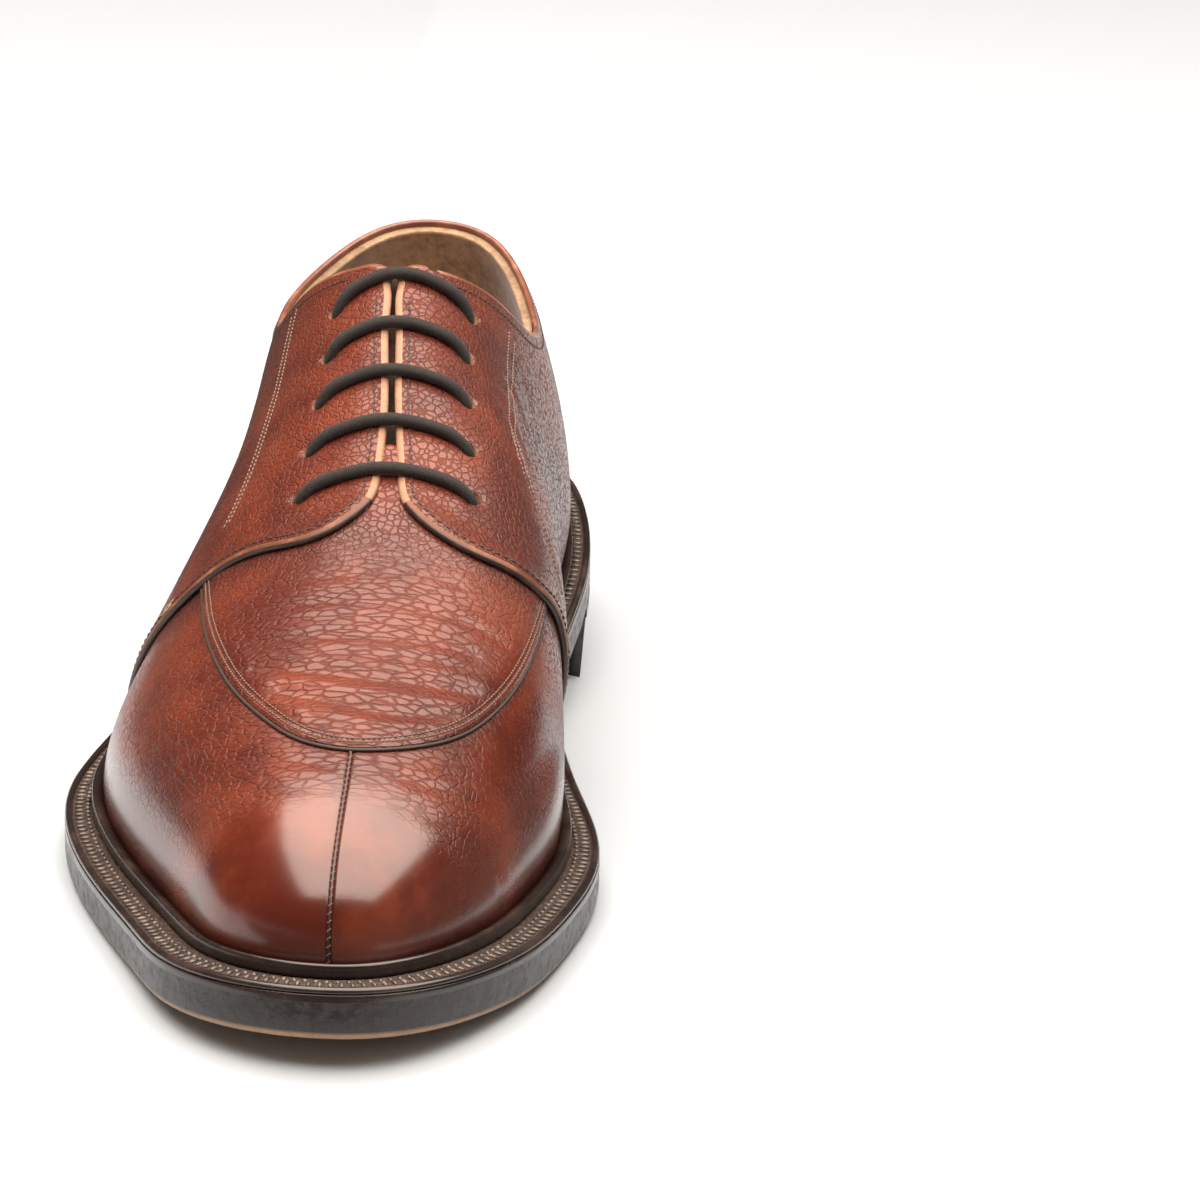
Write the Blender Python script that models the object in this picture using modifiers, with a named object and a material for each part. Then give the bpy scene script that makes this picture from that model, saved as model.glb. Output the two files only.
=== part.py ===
"""Right shoe of a split toe derby: sole, stacked heel, storm welt, hollow upper, tongue and laces.

Stations run from the back of the last (0) to its toe, and become -Y, so the toe points to -Y.
The medial side is +X. The last is given in millimetres and turned into metres on the way out.
"""
import math

import bmesh
import bpy
import numpy as np
from mathutils import Vector

OBJECT_NAME = "split_toe_derby"
MM = 0.001

# Driving sizes in millimetres
LAST_LENGTH = 290.0
TOE_SWING = 5.3             # the toe's tip lies this far to the medial side of the heel's centre
OUTSOLE = 4.7
MIDSOLE = 3.2
WELT = 3.0
SEAT_GAP = 0.3              # between curved pieces that touch
HEEL_SEAT = 22.5            # underside of the outsole above the floor, under the heel
HEEL_BREAST = 76.0          # station of the heel's front face
FLOOR_MARGIN = 5.6          # how far the heel stands out past the last's edge at the floor
TOE_SPRING = 7.0
BALL_FRONT = 222.0          # the sole lies flat from BALL_BACK to BALL_FRONT
BALL_BACK = 176.0
SOLE_FRONT = 299.0
SEAT_FRONT = 25.0
WALL = 2.2                  # upper leather with its lining
QUARTER_RAISE = 1.6
APRON_RAISE = 0.8
STRAP_RAISE = 2.6
LACE = 3.0
LACE_HIDDEN = 1.5           # how far a lace's end goes into the wall below the vamp's surface
LACE_RISE = 2.1             # from the quarter to the middle of a lace that crosses it
EYELET_HOLE = 4.4
TONGUE = 1.8

MIDSOLE_TOP = OUTSOLE + SEAT_GAP + MIDSOLE
WELT_BOTTOM = MIDSOLE_TOP + SEAT_GAP
FEATHER_TOP = WELT_BOTTOM + WELT

# Bottom edge of the last: station, lateral and medial breadth from the heel's centre line
FEATHER = (
    (0.0, 0.0, 0.0),
    (5.0, 14.5, 16.5),
    (20.0, 26.0, 27.5),
    (45.0, 34.5, 34.5),
    (80.0, 36.0, 37.5),
    (115.0, 41.0, 34.5),
    (150.0, 51.5, 37.5),
    (182.0, 56.0, 43.0),
    (210.0, 50.5, 46.0),
    (235.0, 40.0, 42.0),
    (257.0, 29.5, 35.5),
    (275.0, 20.5, 26.0),
    (LAST_LENGTH, -TOE_SWING, TOE_SWING),
)

# Crest of the last, under the tongue and down the vamp: station, sideways place, height
RIDGE = (
    (20.0, 0.0, 123.5),
    (60.0, 0.0, 129.0),
    (95.0, 1.0, 126.0),
    (120.0, 1.2, 112.0),
    (150.0, 3.6, 96.4),
    (180.0, 5.8, 79.5),
    (210.0, 5.5, 65.5),
    (240.0, 5.6, 54.0),
    (265.0, 5.6, 45.0),
)
RIDGE_BACK = 28.0           # the sections fan out from here around the heel
RIDGE_FRONT = 262.0         # and from here around the toe
RIDGE_SOFTNESS = 10.0
SIDE_BLEND = 4.0

# Cross sections: station, then for the lateral and the medial side how high the wall stands
# before it turns in, how far it leans out there, and how wide the crown is
SIDES = (
    (0.0, 0.39, 0.39, 6.8, 6.8, 0.36, 0.36),
    (60.0, 0.44, 0.39, 7.6, 5.0, 0.42, 0.35),
    (110.0, 0.42, 0.50, 3.4, 9.5, 0.40, 0.47),
    (150.0, 0.41, 0.65, 1.0, 15.0, 0.35, 0.58),
    (185.0, 0.44, 0.68, 2.4, 9.5, 0.37, 0.59),
    (215.0, 0.56, 0.63, 4.0, 5.0, 0.49, 0.56),
    (250.0, 0.60, 0.60, 3.2, 2.8, 0.58, 0.57),
    (LAST_LENGTH, 0.60, 0.60, 2.1, 1.8, 0.60, 0.60),
)

# How far the sole stands out past the upper: station, margin
MARGIN = (
    (0.0, 8.4),
    (50.0, 7.8),
    (100.0, 6.2),
    (150.0, 6.2),
    (200.0, 9.0),
    (250.0, 10.5),
    (LAST_LENGTH, 11.5),
)

# Section of the storm welt: measured from the upper or from the welt's edge, distance out, height
WELT_PROFILE = (
    ("upper", 0.0, WELT_BOTTOM),
    ("edge", -0.7, WELT_BOTTOM),
    ("edge", -0.3, WELT_BOTTOM + 0.5),
    ("edge", -0.3, FEATHER_TOP - 0.7),
    ("edge", -0.9, FEATHER_TOP),
    ("upper", 3.9, FEATHER_TOP),
    ("upper", 3.6, FEATHER_TOP + 1.6),
    ("upper", 2.7, FEATHER_TOP + 2.7),
    ("upper", 1.7, FEATHER_TOP + 2.8),
    ("upper", 0.7, FEATHER_TOP + 1.2),
)

# Collar seen from the side: station, height
TOPLINE = (
    (-30.0, 97.5),
    (2.0, 95.6),
    (30.0, 87.0),
    (62.0, 84.0),
    (88.0, 91.0),
    (108.0, 107.0),
    (119.0, 114.3),
)

# Front edge of the quarters seen from the side: station, height
QUARTER_FRONT = (
    (193.0, 95.0),
    (189.5, 76.0),
    (184.5, 67.5),
    (179.0, 60.5),
    (174.0, 53.0),
    (169.5, 44.0),
    (164.0, 32.0),
    (158.0, 18.0),
    (154.0, 4.0),
)

# Apron seen from above: station, lateral and medial edge
APRON = (
    (170.0, -35.5, 40.4),
    (184.0, -33.7, 40.0),
    (197.0, -31.4, 39.0),
    (211.0, -27.6, 36.6),
    (226.0, -21.4, 31.8),
    (239.0, -13.0, 25.0),
    (248.0, -4.0, 15.6),
)
APRON_TIP = (251.0, 5.6)

# Throat between the facings, seen from above: station, half width
THROAT = (
    (104.0, 0.9),
    (125.0, 0.9),
    (150.0, 1.1),
    (165.0, 1.7),
    (174.5, 2.4),
)
THROAT_END = 177.5

# Below the throat the quarters' front edges part in a V: half width, station
NOTCH = (
    (1.0, 174.5),
    (2.2, 179.2),
    (4.0, 181.6),
    (6.4, 183.5),
    (10.4, 185.5),
    (16.0, 187.6),
    (17.0, 197.0),
)

# Back strap seen from behind: height, half width
STRAP = (
    (120.0, 9.5),
    (92.0, 9.0),
    (76.0, 7.2),
    (64.0, 6.2),
    (58.0, 4.4),
    (55.5, 1.2),
)

# Eyelets from the vamp up: station and distance out from the crest, lateral and then medial
EYELETS = (
    (173.0, 19.2, 173.8, 17.8),
    (160.6, 17.2, 161.2, 16.6),
    (148.0, 15.4, 147.6, 16.2),
    (135.2, 13.6, 132.8, 16.0),
    (122.2, 12.4, 117.6, 16.4),
)

# Tongue seen from above: station, half width
TONGUE_WIDTH = (
    (114.5, 15.0),
    (117.5, 20.0),
    (125.0, 24.0),
    (160.0, 26.0),
    (196.0, 24.0),
)

STATIONS = 40
HEEL_STATIONS = 16
WALL_STEPS = 11


def column(table, index):
    return [row[index] for row in table]


def smooth_curve(xs, ys):
    """Natural cubic through the points, held flat past both ends."""
    xs, ys = np.asarray(xs, float), np.asarray(ys, float)
    count = len(xs)
    step = np.diff(xs)
    matrix, right = np.zeros((count, count)), np.zeros(count)
    matrix[0, 0] = matrix[-1, -1] = 1.0
    for i in range(1, count - 1):
        matrix[i, i - 1:i + 2] = step[i - 1], 2.0 * (step[i - 1] + step[i]), step[i]
        right[i] = 6.0 * ((ys[i + 1] - ys[i]) / step[i] - (ys[i] - ys[i - 1]) / step[i - 1])
    bend = np.linalg.solve(matrix, right)

    def curve(x):
        x = np.clip(np.asarray(x, float), xs[0], xs[-1])
        i = np.clip(np.searchsorted(xs, x) - 1, 0, count - 2)
        after, before = (xs[i + 1] - x) / step[i], (x - xs[i]) / step[i]
        cubic = (after ** 3 - after) * bend[i] + (before ** 3 - before) * bend[i + 1]
        return after * ys[i] + before * ys[i + 1] + cubic * step[i] ** 2 / 6.0

    return curve


def turn_of(station):
    """Angle that runs from 0 at the heel's back to pi at the toe, so that both ends come out round."""
    return np.arccos(np.clip(1.0 - 2.0 * np.asarray(station, float) / LAST_LENGTH, -1.0, 1.0))


LATERAL_BREADTH = smooth_curve(turn_of(column(FEATHER, 0)), column(FEATHER, 1))
MEDIAL_BREADTH = smooth_curve(turn_of(column(FEATHER, 0)), column(FEATHER, 2))
RIDGE_X = smooth_curve(column(RIDGE, 0), column(RIDGE, 1))
RIDGE_Z = smooth_curve(column(RIDGE, 0), column(RIDGE, 2))
MARGIN_AT = smooth_curve(column(MARGIN, 0), column(MARGIN, 1))
SIDE_CURVES = [smooth_curve(column(SIDES, 0), column(SIDES, i)) for i in range(1, 7)]


def sole_underside(station):
    """Height of the outsole's underside: heel seat, waist, flat ball and toe spring."""
    station = np.asarray(station, float)
    toe = TOE_SPRING * np.clip((station - BALL_FRONT) / (SOLE_FRONT - BALL_FRONT), 0.0, None) ** 2
    climb = np.clip((BALL_BACK - station) / (BALL_BACK - SEAT_FRONT), 0.0, 1.0)
    return toe + HEEL_SEAT * climb ** 2 * (3.0 - 2.0 * climb)


def ridge_station(station):
    """Where a section meets the crest: the same station, but fanned out around heel and toe."""
    soft = RIDGE_SOFTNESS
    front = RIDGE_FRONT - soft * np.log1p(np.exp((RIDGE_FRONT - station) / soft))
    return RIDGE_BACK + soft * np.log1p(np.exp((front - RIDGE_BACK) / soft))


def feather_point(turn, side):
    """Plan point (x, station) of the last's bottom edge; side is -1 lateral, 1 medial."""
    station = LAST_LENGTH * (1.0 - np.cos(turn)) / 2.0
    breadth = LATERAL_BREADTH(turn) if side < 0 else MEDIAL_BREADTH(turn)
    return np.stack([side * breadth, station], -1)


def last_section(turn, side, height):
    """Points (x, station, z) up one side of a section; height runs from 0 at the edge to 1 on the crest."""
    foot = feather_point(np.asarray(turn, float), side)
    foot_z = sole_underside(foot[..., 1]) + FEATHER_TOP
    crest = ridge_station(foot[..., 1])
    crest_x, crest_z = RIDGE_X(crest), RIDGE_Z(crest)
    slope = RIDGE_Z(crest + 0.5) - RIDGE_Z(crest - 0.5)
    reach_x, reach_t = foot[..., 0] - crest_x, foot[..., 1] - crest
    reach = np.hypot(reach_x, reach_t)

    # the lateral and medial shapes blend over a few millimetres at heel and toe
    medial = 1.0 / (1.0 + np.exp(-reach_x / SIDE_BLEND))
    shapes = [curve(foot[..., 1]) for curve in SIDE_CURVES]
    rise, lean, crown = (shapes[i] * (1.0 - medial) + shapes[i + 1] * medial for i in (0, 2, 4))
    corners = (
        np.stack([foot[..., 0], foot[..., 1], foot_z], -1),
        np.stack([foot[..., 0] + reach_x / reach * lean, foot[..., 1] + reach_t / reach * lean,
                  foot_z + (crest_z - foot_z) * rise], -1),
        np.stack([crest_x + reach_x * crown, crest + reach_t * crown, crest_z + slope * reach_t * crown], -1),
        np.stack([crest_x, crest, crest_z], -1),
    )
    h = np.asarray(height, float)[..., None]
    weights = ((1 - h) ** 3, 3 * (1 - h) ** 2 * h, 3 * (1 - h) * h ** 2, h ** 3)
    return sum(weight * corner for weight, corner in zip(weights, corners))


def on_crown(station, across):
    """Point of the last at a station and a signed distance across from the crest."""
    side = -1 if across < 0 else 1
    heights = np.linspace(0.25, 1.0, 160)
    points = last_section(np.full(heights.shape, turn_of(station)), side, heights)
    out = side * (points[:, 0] - RIDGE_X(station))
    return np.array([np.interp(-abs(across), -out, points[:, axis]) for axis in range(3)])


def crown_frame(station, across):
    """Point on the last with the unit vectors across it (to medial) and out of it."""
    step = 0.5
    point = on_crown(station, across)
    along = on_crown(station + step, across) - on_crown(station - step, across)
    sideways = on_crown(station, across + step) - on_crown(station, across - step)
    outward = np.cross(sideways, along)
    outward /= np.linalg.norm(outward)
    if outward[2] < 0:
        outward = -outward
    return point, sideways / np.linalg.norm(sideways), outward


def feather_loop(out=0.0, stations=STATIONS, last_station=None):
    """Plan loop of the bottom edge moved out by a number or by the sole's margin: lateral side
    from heel to toe, then the medial side back. The two sides share their stations."""
    end = math.pi if last_station is None else float(turn_of(last_station))
    turns = np.linspace(0.0, end, stations + 1)
    closed = last_station is None
    lateral, medial = (offset_side(turns, side, out) for side in (-1, 1))
    back = medial[-2:0:-1] if closed else medial[:0:-1]
    return np.vstack([lateral, back])


def offset_side(turns, side, out):
    step = 1e-3
    ahead, behind = feather_point(turns + step, side), feather_point(turns - step, side)
    # past either end the outline carries on round the other side
    behind[turns < step] = feather_point(turns[turns < step] + step, -side)
    past = turns > math.pi - step
    ahead[past] = feather_point(turns[past] - step, -side)
    along = ahead - behind
    along /= np.linalg.norm(along, axis=1)[:, None]
    normal = np.stack([side * along[:, 1], -side * along[:, 0]], -1)
    centre = feather_point(turns, side)
    margin = MARGIN_AT(centre[:, 1]) if out == "margin" else np.full(len(turns), float(out))
    return centre + normal * margin[:, None]


def box_centre(loop):
    return (loop.max(axis=0) + loop.min(axis=0)) / 2.0


CENTRE_X, CENTRE_STATION = box_centre(feather_loop("margin"))


def to_world(points):
    """Millimetres as (x, station, z) to metres, with the sole's outline centred on the origin."""
    points = np.asarray(points, float)
    return np.stack([points[..., 0] - CENTRE_X, CENTRE_STATION - points[..., 1], points[..., 2]], -1) * MM


def clear_scene():
    for old in list(bpy.data.objects):
        bpy.data.objects.remove(old, do_unlink=True)


def new_collection(name):
    collection = bpy.data.collections.new(name)
    bpy.context.scene.collection.children.link(collection)
    return collection


def material(name, colour, roughness, metallic=0.0):
    result = bpy.data.materials.new(name)
    result.use_nodes = True
    shader = result.node_tree.nodes["Principled BSDF"]
    shader.inputs["Base Color"].default_value = (*colour, 1.0)
    shader.inputs["Roughness"].default_value = roughness
    shader.inputs["Metallic"].default_value = metallic
    result.diffuse_color = (*colour, 1.0)
    return result


clear_scene()
PARTS = new_collection(OBJECT_NAME)
CUTTERS = new_collection("cutters")
UPPER_LEATHER = material("upper_leather", (0.23, 0.065, 0.03), 0.35)
TONGUE_LEATHER = material("tongue_leather", (0.10, 0.04, 0.025), 0.6)
LINING_LEATHER = material("lining_leather", (0.55, 0.36, 0.20), 0.7)
WELT_LEATHER = material("welt_leather", (0.09, 0.04, 0.028), 0.5)
SOLE_LEATHER = material("sole_leather", (0.11, 0.055, 0.04), 0.4)
TOP_PIECE_RUBBER = material("top_piece_rubber", (0.02, 0.018, 0.017), 0.7)
LACE_COTTON = material("lace_cotton", (0.04, 0.025, 0.02), 0.6)

# Level layers of the heel from the floor up: name, material, thickness
LIFTS = (
    ("top_piece", TOP_PIECE_RUBBER, 6.0),
    ("heel_lift_1", SOLE_LEATHER, 5.2),
    ("heel_lift_2", SOLE_LEATHER, 4.2),
)


def place(item, collection):
    """Put an object in a collection, and show it as a guide if that collection is the cutters'."""
    for old in item.users_collection:
        old.objects.unlink(item)
    collection.objects.link(item)
    if collection is CUTTERS:
        item.hide_render = True
        item.display_type = "WIRE"


def add_object(name, bm, collection=PARTS, surface=None):
    """Turn a bmesh into an object."""
    mesh = bpy.data.meshes.new(name)
    bm.to_mesh(mesh)
    bm.free()
    result = bpy.data.objects.new(name, mesh)
    place(result, collection)
    if surface is not None:
        mesh.materials.append(surface)
        mesh.shade_smooth()
        mesh.set_sharp_from_angle(angle=math.radians(35))
    return result


def add_closed(name, bm, collection=PARTS, surface=None):
    """Turn a closed bmesh into an object, with its faces pointing out."""
    bmesh.ops.recalc_face_normals(bm, faces=bm.faces)
    return add_object(name, bm, collection, surface)


def loft(bm, rows, around=False):
    """Quads between rows of points; around also joins each row's last point to its first."""
    rings = [[bm.verts.new(Vector(point)) for point in to_world(row)] for row in rows]
    for low, high in zip(rings, rings[1:]):
        join_rings(bm, low, high, around)
    return rings


def join_rings(bm, low, high, around=True):
    count = len(low)
    for i in range(count if around else count - 1):
        j = (i + 1) % count
        bm.faces.new((low[i], low[j], high[j], high[i]))


def close_end(bm, ring, stations):
    """Fill a loop that was made by feather_loop with strips from side to side."""
    count = len(ring)
    for i in range(stations):
        quad = (ring[i], ring[i + 1], ring[(count - i - 1) % count], ring[-i % count])
        corners = []
        for vert in quad:
            if vert not in corners:
                corners.append(vert)
        if len(corners) > 2:
            bm.faces.new(corners)


def slab(name, surface, layers, stations=STATIONS):
    """Solid between outlines stacked from the bottom up; a layer is a plan loop and its heights."""
    bm = bmesh.new()
    rows = [np.column_stack([loop, heights]) for loop, heights in layers]
    rings = loft(bm, rows, around=True)
    close_end(bm, rings[0], stations)
    close_end(bm, rings[-1], stations)
    return add_closed(name, bm, PARTS, surface)


def outline_cutter(name, outline, axis, low, high):
    """Prism of a closed outline, given as (station, z) along X, (x, z) along Y or (x, station) along Z."""
    bm = bmesh.new()
    if axis == "X":
        rows = [[(depth, station, z) for station, z in outline] for depth in (low, high)]
    elif axis == "Z":
        rows = [[(x, station, depth) for x, station in outline] for depth in (low, high)]
    else:
        rows = [[(x, depth, z) for x, z in outline] for depth in (low, high)]
    for ring in loft(bm, rows, around=True):
        bm.faces.new(ring)
    return add_closed(name, bm, CUTTERS)


def boolean(target, cutter, operation):
    modifier = target.modifiers.new(operation.lower() + "_" + cutter.name, "BOOLEAN")
    modifier.operation = operation
    modifier.object = cutter
    modifier.solver = "EXACT"


def follow(table, first, second, steps):
    """Evenly spaced points of a smooth curve through two columns of a table."""
    places = np.linspace(0.0, 1.0, len(table))
    fine = np.linspace(0.0, 1.0, steps)
    return list(zip(smooth_curve(places, column(table, first))(fine),
                    smooth_curve(places, column(table, second))(fine)))


def make_sole():
    """Outsole and midsole: plates that share the sole's curve, with a rounded edge."""
    outline = feather_loop("margin")

    def layer(inset, height):
        loop = inset_loop(outline, inset)
        return loop, sole_underside(loop[:, 1]) + height

    slab("outsole", SOLE_LEATHER, [
        layer(1.6, 0.0), layer(0.5, 0.9), layer(0.0, 2.6), layer(0.0, OUTSOLE)])
    midsole = OUTSOLE + SEAT_GAP
    slab("midsole", SOLE_LEATHER, [
        layer(0.0, midsole), layer(0.2, midsole + 2.2), layer(1.0, MIDSOLE_TOP)])


def inset_loop(outline, inset):
    """Move a closed plan loop inwards along its own normals."""
    along = np.roll(outline, -1, axis=0) - np.roll(outline, 1, axis=0)
    along /= np.linalg.norm(along, axis=1)[:, None]
    inward = np.stack([along[:, 1], -along[:, 0]], -1)
    return outline + inward * inset


def make_heel():
    """Stacked heel: a top piece on the floor, two level lifts and a lift that takes up the seat's slope."""
    seat_loop = feather_loop("margin", HEEL_STATIONS, HEEL_BREAST)
    floor_loop = feather_loop(FLOOR_MARGIN, HEEL_STATIONS, HEEL_BREAST - 2.0)
    breast = breast_cutter()

    def tapered(height):
        return floor_loop + (seat_loop - floor_loop) * height / HEEL_SEAT

    def level(height):
        return tapered(height), np.full(len(seat_loop), height)

    low = 0.0
    for name, surface, thickness in LIFTS:
        lift = slab(name, surface, [level(low), level(low + thickness)], HEEL_STATIONS)
        boolean(lift, breast, "DIFFERENCE")
        low += thickness + SEAT_GAP
    seat = sole_underside(seat_loop[:, 1]) - SEAT_GAP
    wedge = slab("heel_lift_3", SOLE_LEATHER, [level(low), (seat_loop, seat)], HEEL_STATIONS)
    boolean(wedge, breast, "DIFFERENCE")


def breast_cutter():
    """Shallow arc that hollows the heel's front face."""
    radius, depth = 130.0, 4.0
    bpy.ops.mesh.primitive_cylinder_add(vertices=160, radius=radius * MM, depth=80.0 * MM)
    cutter = bpy.context.object
    cutter.name = "breast"
    cutter.location = to_world([CENTRE_X, HEEL_BREAST - depth + radius, 0.0])
    place(cutter, CUTTERS)
    return cutter


def make_welt():
    """Storm welt: a flat strip on the midsole with a bead that stands up against the upper."""
    inner, outer = feather_loop(SEAT_GAP), feather_loop("margin")
    outward = (outer - inner) / np.linalg.norm(outer - inner, axis=1)[:, None]
    rows = []
    for start, distance, height in WELT_PROFILE:
        plan = (inner if start == "upper" else outer) + outward * distance
        rows.append(np.column_stack([plan, sole_underside(plan[:, 1]) + height]))
    bm = bmesh.new()
    rings = loft(bm, rows, around=True)
    join_rings(bm, rings[-1], rings[0])
    add_closed("welt", bm, PARTS, WELT_LEATHER)


def make_insole():
    loop = feather_loop(-WALL - SEAT_GAP - 0.1)
    base = sole_underside(loop[:, 1])
    slab("insole", LINING_LEATHER, [(loop, base + WELT_BOTTOM), (loop, base + WELT_BOTTOM + 3.5)])


def last_grid(first=0.0, final=LAST_LENGTH, stations=STATIONS):
    """Arches over the last from its lateral to its medial edge, with how far up each point lies."""
    turns = np.linspace(float(turn_of(first)), float(turn_of(final)), stations + 1)
    heights = np.linspace(0.0, 1.0, WALL_STEPS + 1) ** 1.1
    turn, height = np.meshgrid(turns, heights, indexing="ij")
    lateral = last_section(turn, -1, height)
    medial = last_section(turn, 1, height)
    arches = np.concatenate([lateral, medial[:, -2::-1]], axis=1)
    up = np.concatenate([height, height[:, -2::-1]], axis=1)
    return arches, up


def wall_solid(name, arches, thickness, collection, surface=None, proud=0.0):
    """Closed wall of even thickness on a grid of arches; proud is how far it stands out of the grid."""
    bm = bmesh.new()
    loft(bm, arches)
    bmesh.ops.remove_doubles(bm, verts=bm.verts, dist=0.15 * MM)
    bmesh.ops.recalc_face_normals(bm, faces=bm.faces)
    flip_outwards(bm)
    result = add_object(name, bm, collection, surface)
    solidify = result.modifiers.new("wall", "SOLIDIFY")
    solidify.thickness = thickness * MM
    solidify.offset = 2.0 * proud / thickness - 1.0
    solidify.use_even_offset = True
    return result


def flip_outwards(bm):
    """Point the faces of an open arch away from the inside of the shoe."""
    highest = max(bm.faces, key=lambda face: face.calc_center_median().z)
    if highest.normal.z < 0:
        bmesh.ops.reverse_faces(bm, faces=bm.faces)


def with_skirt(arches):
    """Carry the arches down from the feather edge to just above the midsole."""
    drop = np.array([0.0, 0.0, WELT])
    return np.concatenate([arches[:, :1] - drop, arches, arches[:, -1:] - drop], axis=1)


def tucked(arches, up, amount):
    """Draw the arches in along the feather edge, so that a raised panel dives under the welt's bead there."""
    crest = arches[:, WALL_STEPS:WALL_STEPS + 1, :2]
    feet = np.repeat(arches[:, [0, -1], :2], [WALL_STEPS + 1, WALL_STEPS], axis=1)
    reach = feet - crest
    reach /= np.maximum(np.linalg.norm(reach, axis=-1, keepdims=True), 1e-6)
    share = np.clip(1.0 - up / 0.16, 0.0, 1.0)
    result = arches.copy()
    result[..., :2] -= reach * (amount * share ** 2 * (3.0 - 2.0 * share))[..., None]
    return result


def make_upper():
    arches, up = last_grid()
    upper = wall_solid("upper", with_skirt(arches), WALL, PARTS, UPPER_LEATHER)

    quarters = raised_panel("quarters", 0.0, 215.0, 30, QUARTER_RAISE)
    boolean(quarters, outline_cutter("quarter_side", quarter_outline(), "X", -90.0, 90.0), "INTERSECT")
    boolean(quarters, outline_cutter("notch", notch_outline(), "Z", 40.0, 120.0), "DIFFERENCE")
    boolean(upper, quarters, "UNION")

    apron = raised_panel("apron", 160.0, LAST_LENGTH, 26, APRON_RAISE)
    boolean(apron, outline_cutter("apron_plan", apron_outline(), "Z", 40.0, 120.0), "INTERSECT")
    boolean(upper, apron, "UNION")

    strap = raised_panel("strap", 0.0, 12.0, 8, STRAP_RAISE)
    boolean(strap, outline_cutter("strap_back", strap_outline(), "Y", -20.0, 14.0), "INTERSECT")
    boolean(upper, strap, "UNION")

    boolean(upper, outline_cutter("collar", collar_outline(), "X", -90.0, 90.0), "DIFFERENCE")
    boolean(upper, outline_cutter("throat", throat_outline(), "Z", 40.0, 150.0), "DIFFERENCE")
    boolean(upper, eyelet_cutters(), "DIFFERENCE")
    boolean(upper, seam_cutter(), "DIFFERENCE")


def raised_panel(name, first, final, stations, amount):
    """Skin that stands out of the upper's wall by an amount and is rooted inside it."""
    root = 0.4
    arches, up = last_grid(first, final, stations)
    return wall_solid(name, tucked(arches, up, amount + 0.12), amount + root, CUTTERS, proud=amount)


def quarter_outline():
    front = follow(QUARTER_FRONT, 0, 1, 15)
    return front + [(-40.0, 4.0), (-40.0, 150.0), (193.0, 150.0)]


def notch_outline():
    centre = float(RIDGE_X(THROAT_END))
    medial = [(centre + half, station) for half, station in NOTCH]
    lateral = [(centre - half, station) for half, station in NOTCH]
    return medial + lateral[::-1]


def apron_outline():
    lateral = follow([(row[0], row[1]) for row in APRON] + [APRON_TIP], 1, 0, 18)
    medial = follow([(row[0], row[2]) for row in APRON] + [APRON_TIP], 1, 0, 18)
    return lateral + medial[-2::-1]


def strap_outline():
    half = follow(STRAP, 0, 1, 9)
    return [(width, z) for z, width in half] + [(-width, z) for z, width in half[::-1]]


def collar_outline():
    rear = follow(TOPLINE, 0, 1, 24)
    end = rear[-1][0]
    return rear + [(end + 4.0, 120.0), (end + 4.0, 160.0), (-30.0, 160.0)]


def throat_outline():
    left, right = [], []
    for station, half in follow(THROAT, 0, 1, 10):
        centre = float(RIDGE_X(station))
        left.append((centre - half, station))
        right.append((centre + half, station))
    tip = [(float(RIDGE_X(THROAT_END)), THROAT_END)]
    return left + tip + right[::-1]


def eyelet_places():
    """Each eyelet pair as (lateral, medial) frames on the last."""
    return [(crown_frame(station, -lateral), crown_frame(medial_station, medial))
            for station, lateral, medial_station, medial in EYELETS]


def eyelet_cutters():
    bm = bmesh.new()
    for pair in eyelet_places():
        for point, _, outward in pair:
            add_pin(bm, point - outward * 5.0, point + outward * 5.0, EYELET_HOLE / 2.0)
    return add_closed("eyelet_holes", bm, CUTTERS)


def add_pin(bm, start, end, radius, sides=12):
    start, end = (Vector(to_world(place)) for place in (start, end))
    spin = (end - start).to_track_quat("Z", "Y").to_matrix().to_4x4()
    spin.translation = (start + end) / 2.0
    bmesh.ops.create_cone(bm, cap_ends=True, segments=sides, radius1=radius * MM, radius2=radius * MM,
                          depth=(end - start).length, matrix=spin)


def seam_points():
    """Split toe seam: from the welt up the toe's middle section, then back along the crest to the apron."""
    heights = np.linspace(0.02, 1.0, 22)
    climb = last_section(np.full(heights.shape, math.pi - 1e-4), 1, heights)
    crest = float(climb[-1][1])
    run = np.arange(crest - 3.0, APRON_TIP[0] - 1.0, -3.0)
    return list(climb) + [np.array([RIDGE_X(t), t, RIDGE_Z(t)]) for t in run]


def seam_cutter():
    """Narrow groove that follows the split toe seam."""
    half, above, below = 0.45, 1.5, 0.8
    points = seam_points()
    rows = []
    for i, point in enumerate(points):
        along = points[min(i + 1, len(points) - 1)] - points[max(i - 1, 0)]
        outward = np.cross(along, (1.0, 0.0, 0.0))
        outward /= np.linalg.norm(outward)
        outward *= np.sign(outward[1] + outward[2])
        side = np.array([half, 0.0, 0.0])
        rows.append([point - side - outward * below, point + side - outward * below,
                     point + side + outward * above, point - side + outward * above])
    bm = bmesh.new()
    rings = loft(bm, rows, around=True)
    bm.faces.new(rings[0])
    bm.faces.new(rings[-1])
    return add_closed("toe_seam", bm, CUTTERS)


def make_tongue():
    """Tongue under the facings: a strip that follows the inside of the upper."""
    width = smooth_curve(column(TONGUE_WIDTH, 0), column(TONGUE_WIDTH, 1))
    first, final = TONGUE_WIDTH[0][0], TONGUE_WIDTH[-1][0]
    rows = []
    for station in np.linspace(first, final, 18):
        row = []
        for share in np.linspace(-1.0, 1.0, 13):
            across = share * float(width(station))
            point, _, outward = crown_frame(station, across)
            row.append(point - outward * (WALL + SEAT_GAP + 0.15))
        rows.append(row)
    wall_solid("tongue", np.array(rows), TONGUE, PARTS, TONGUE_LEATHER)


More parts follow.
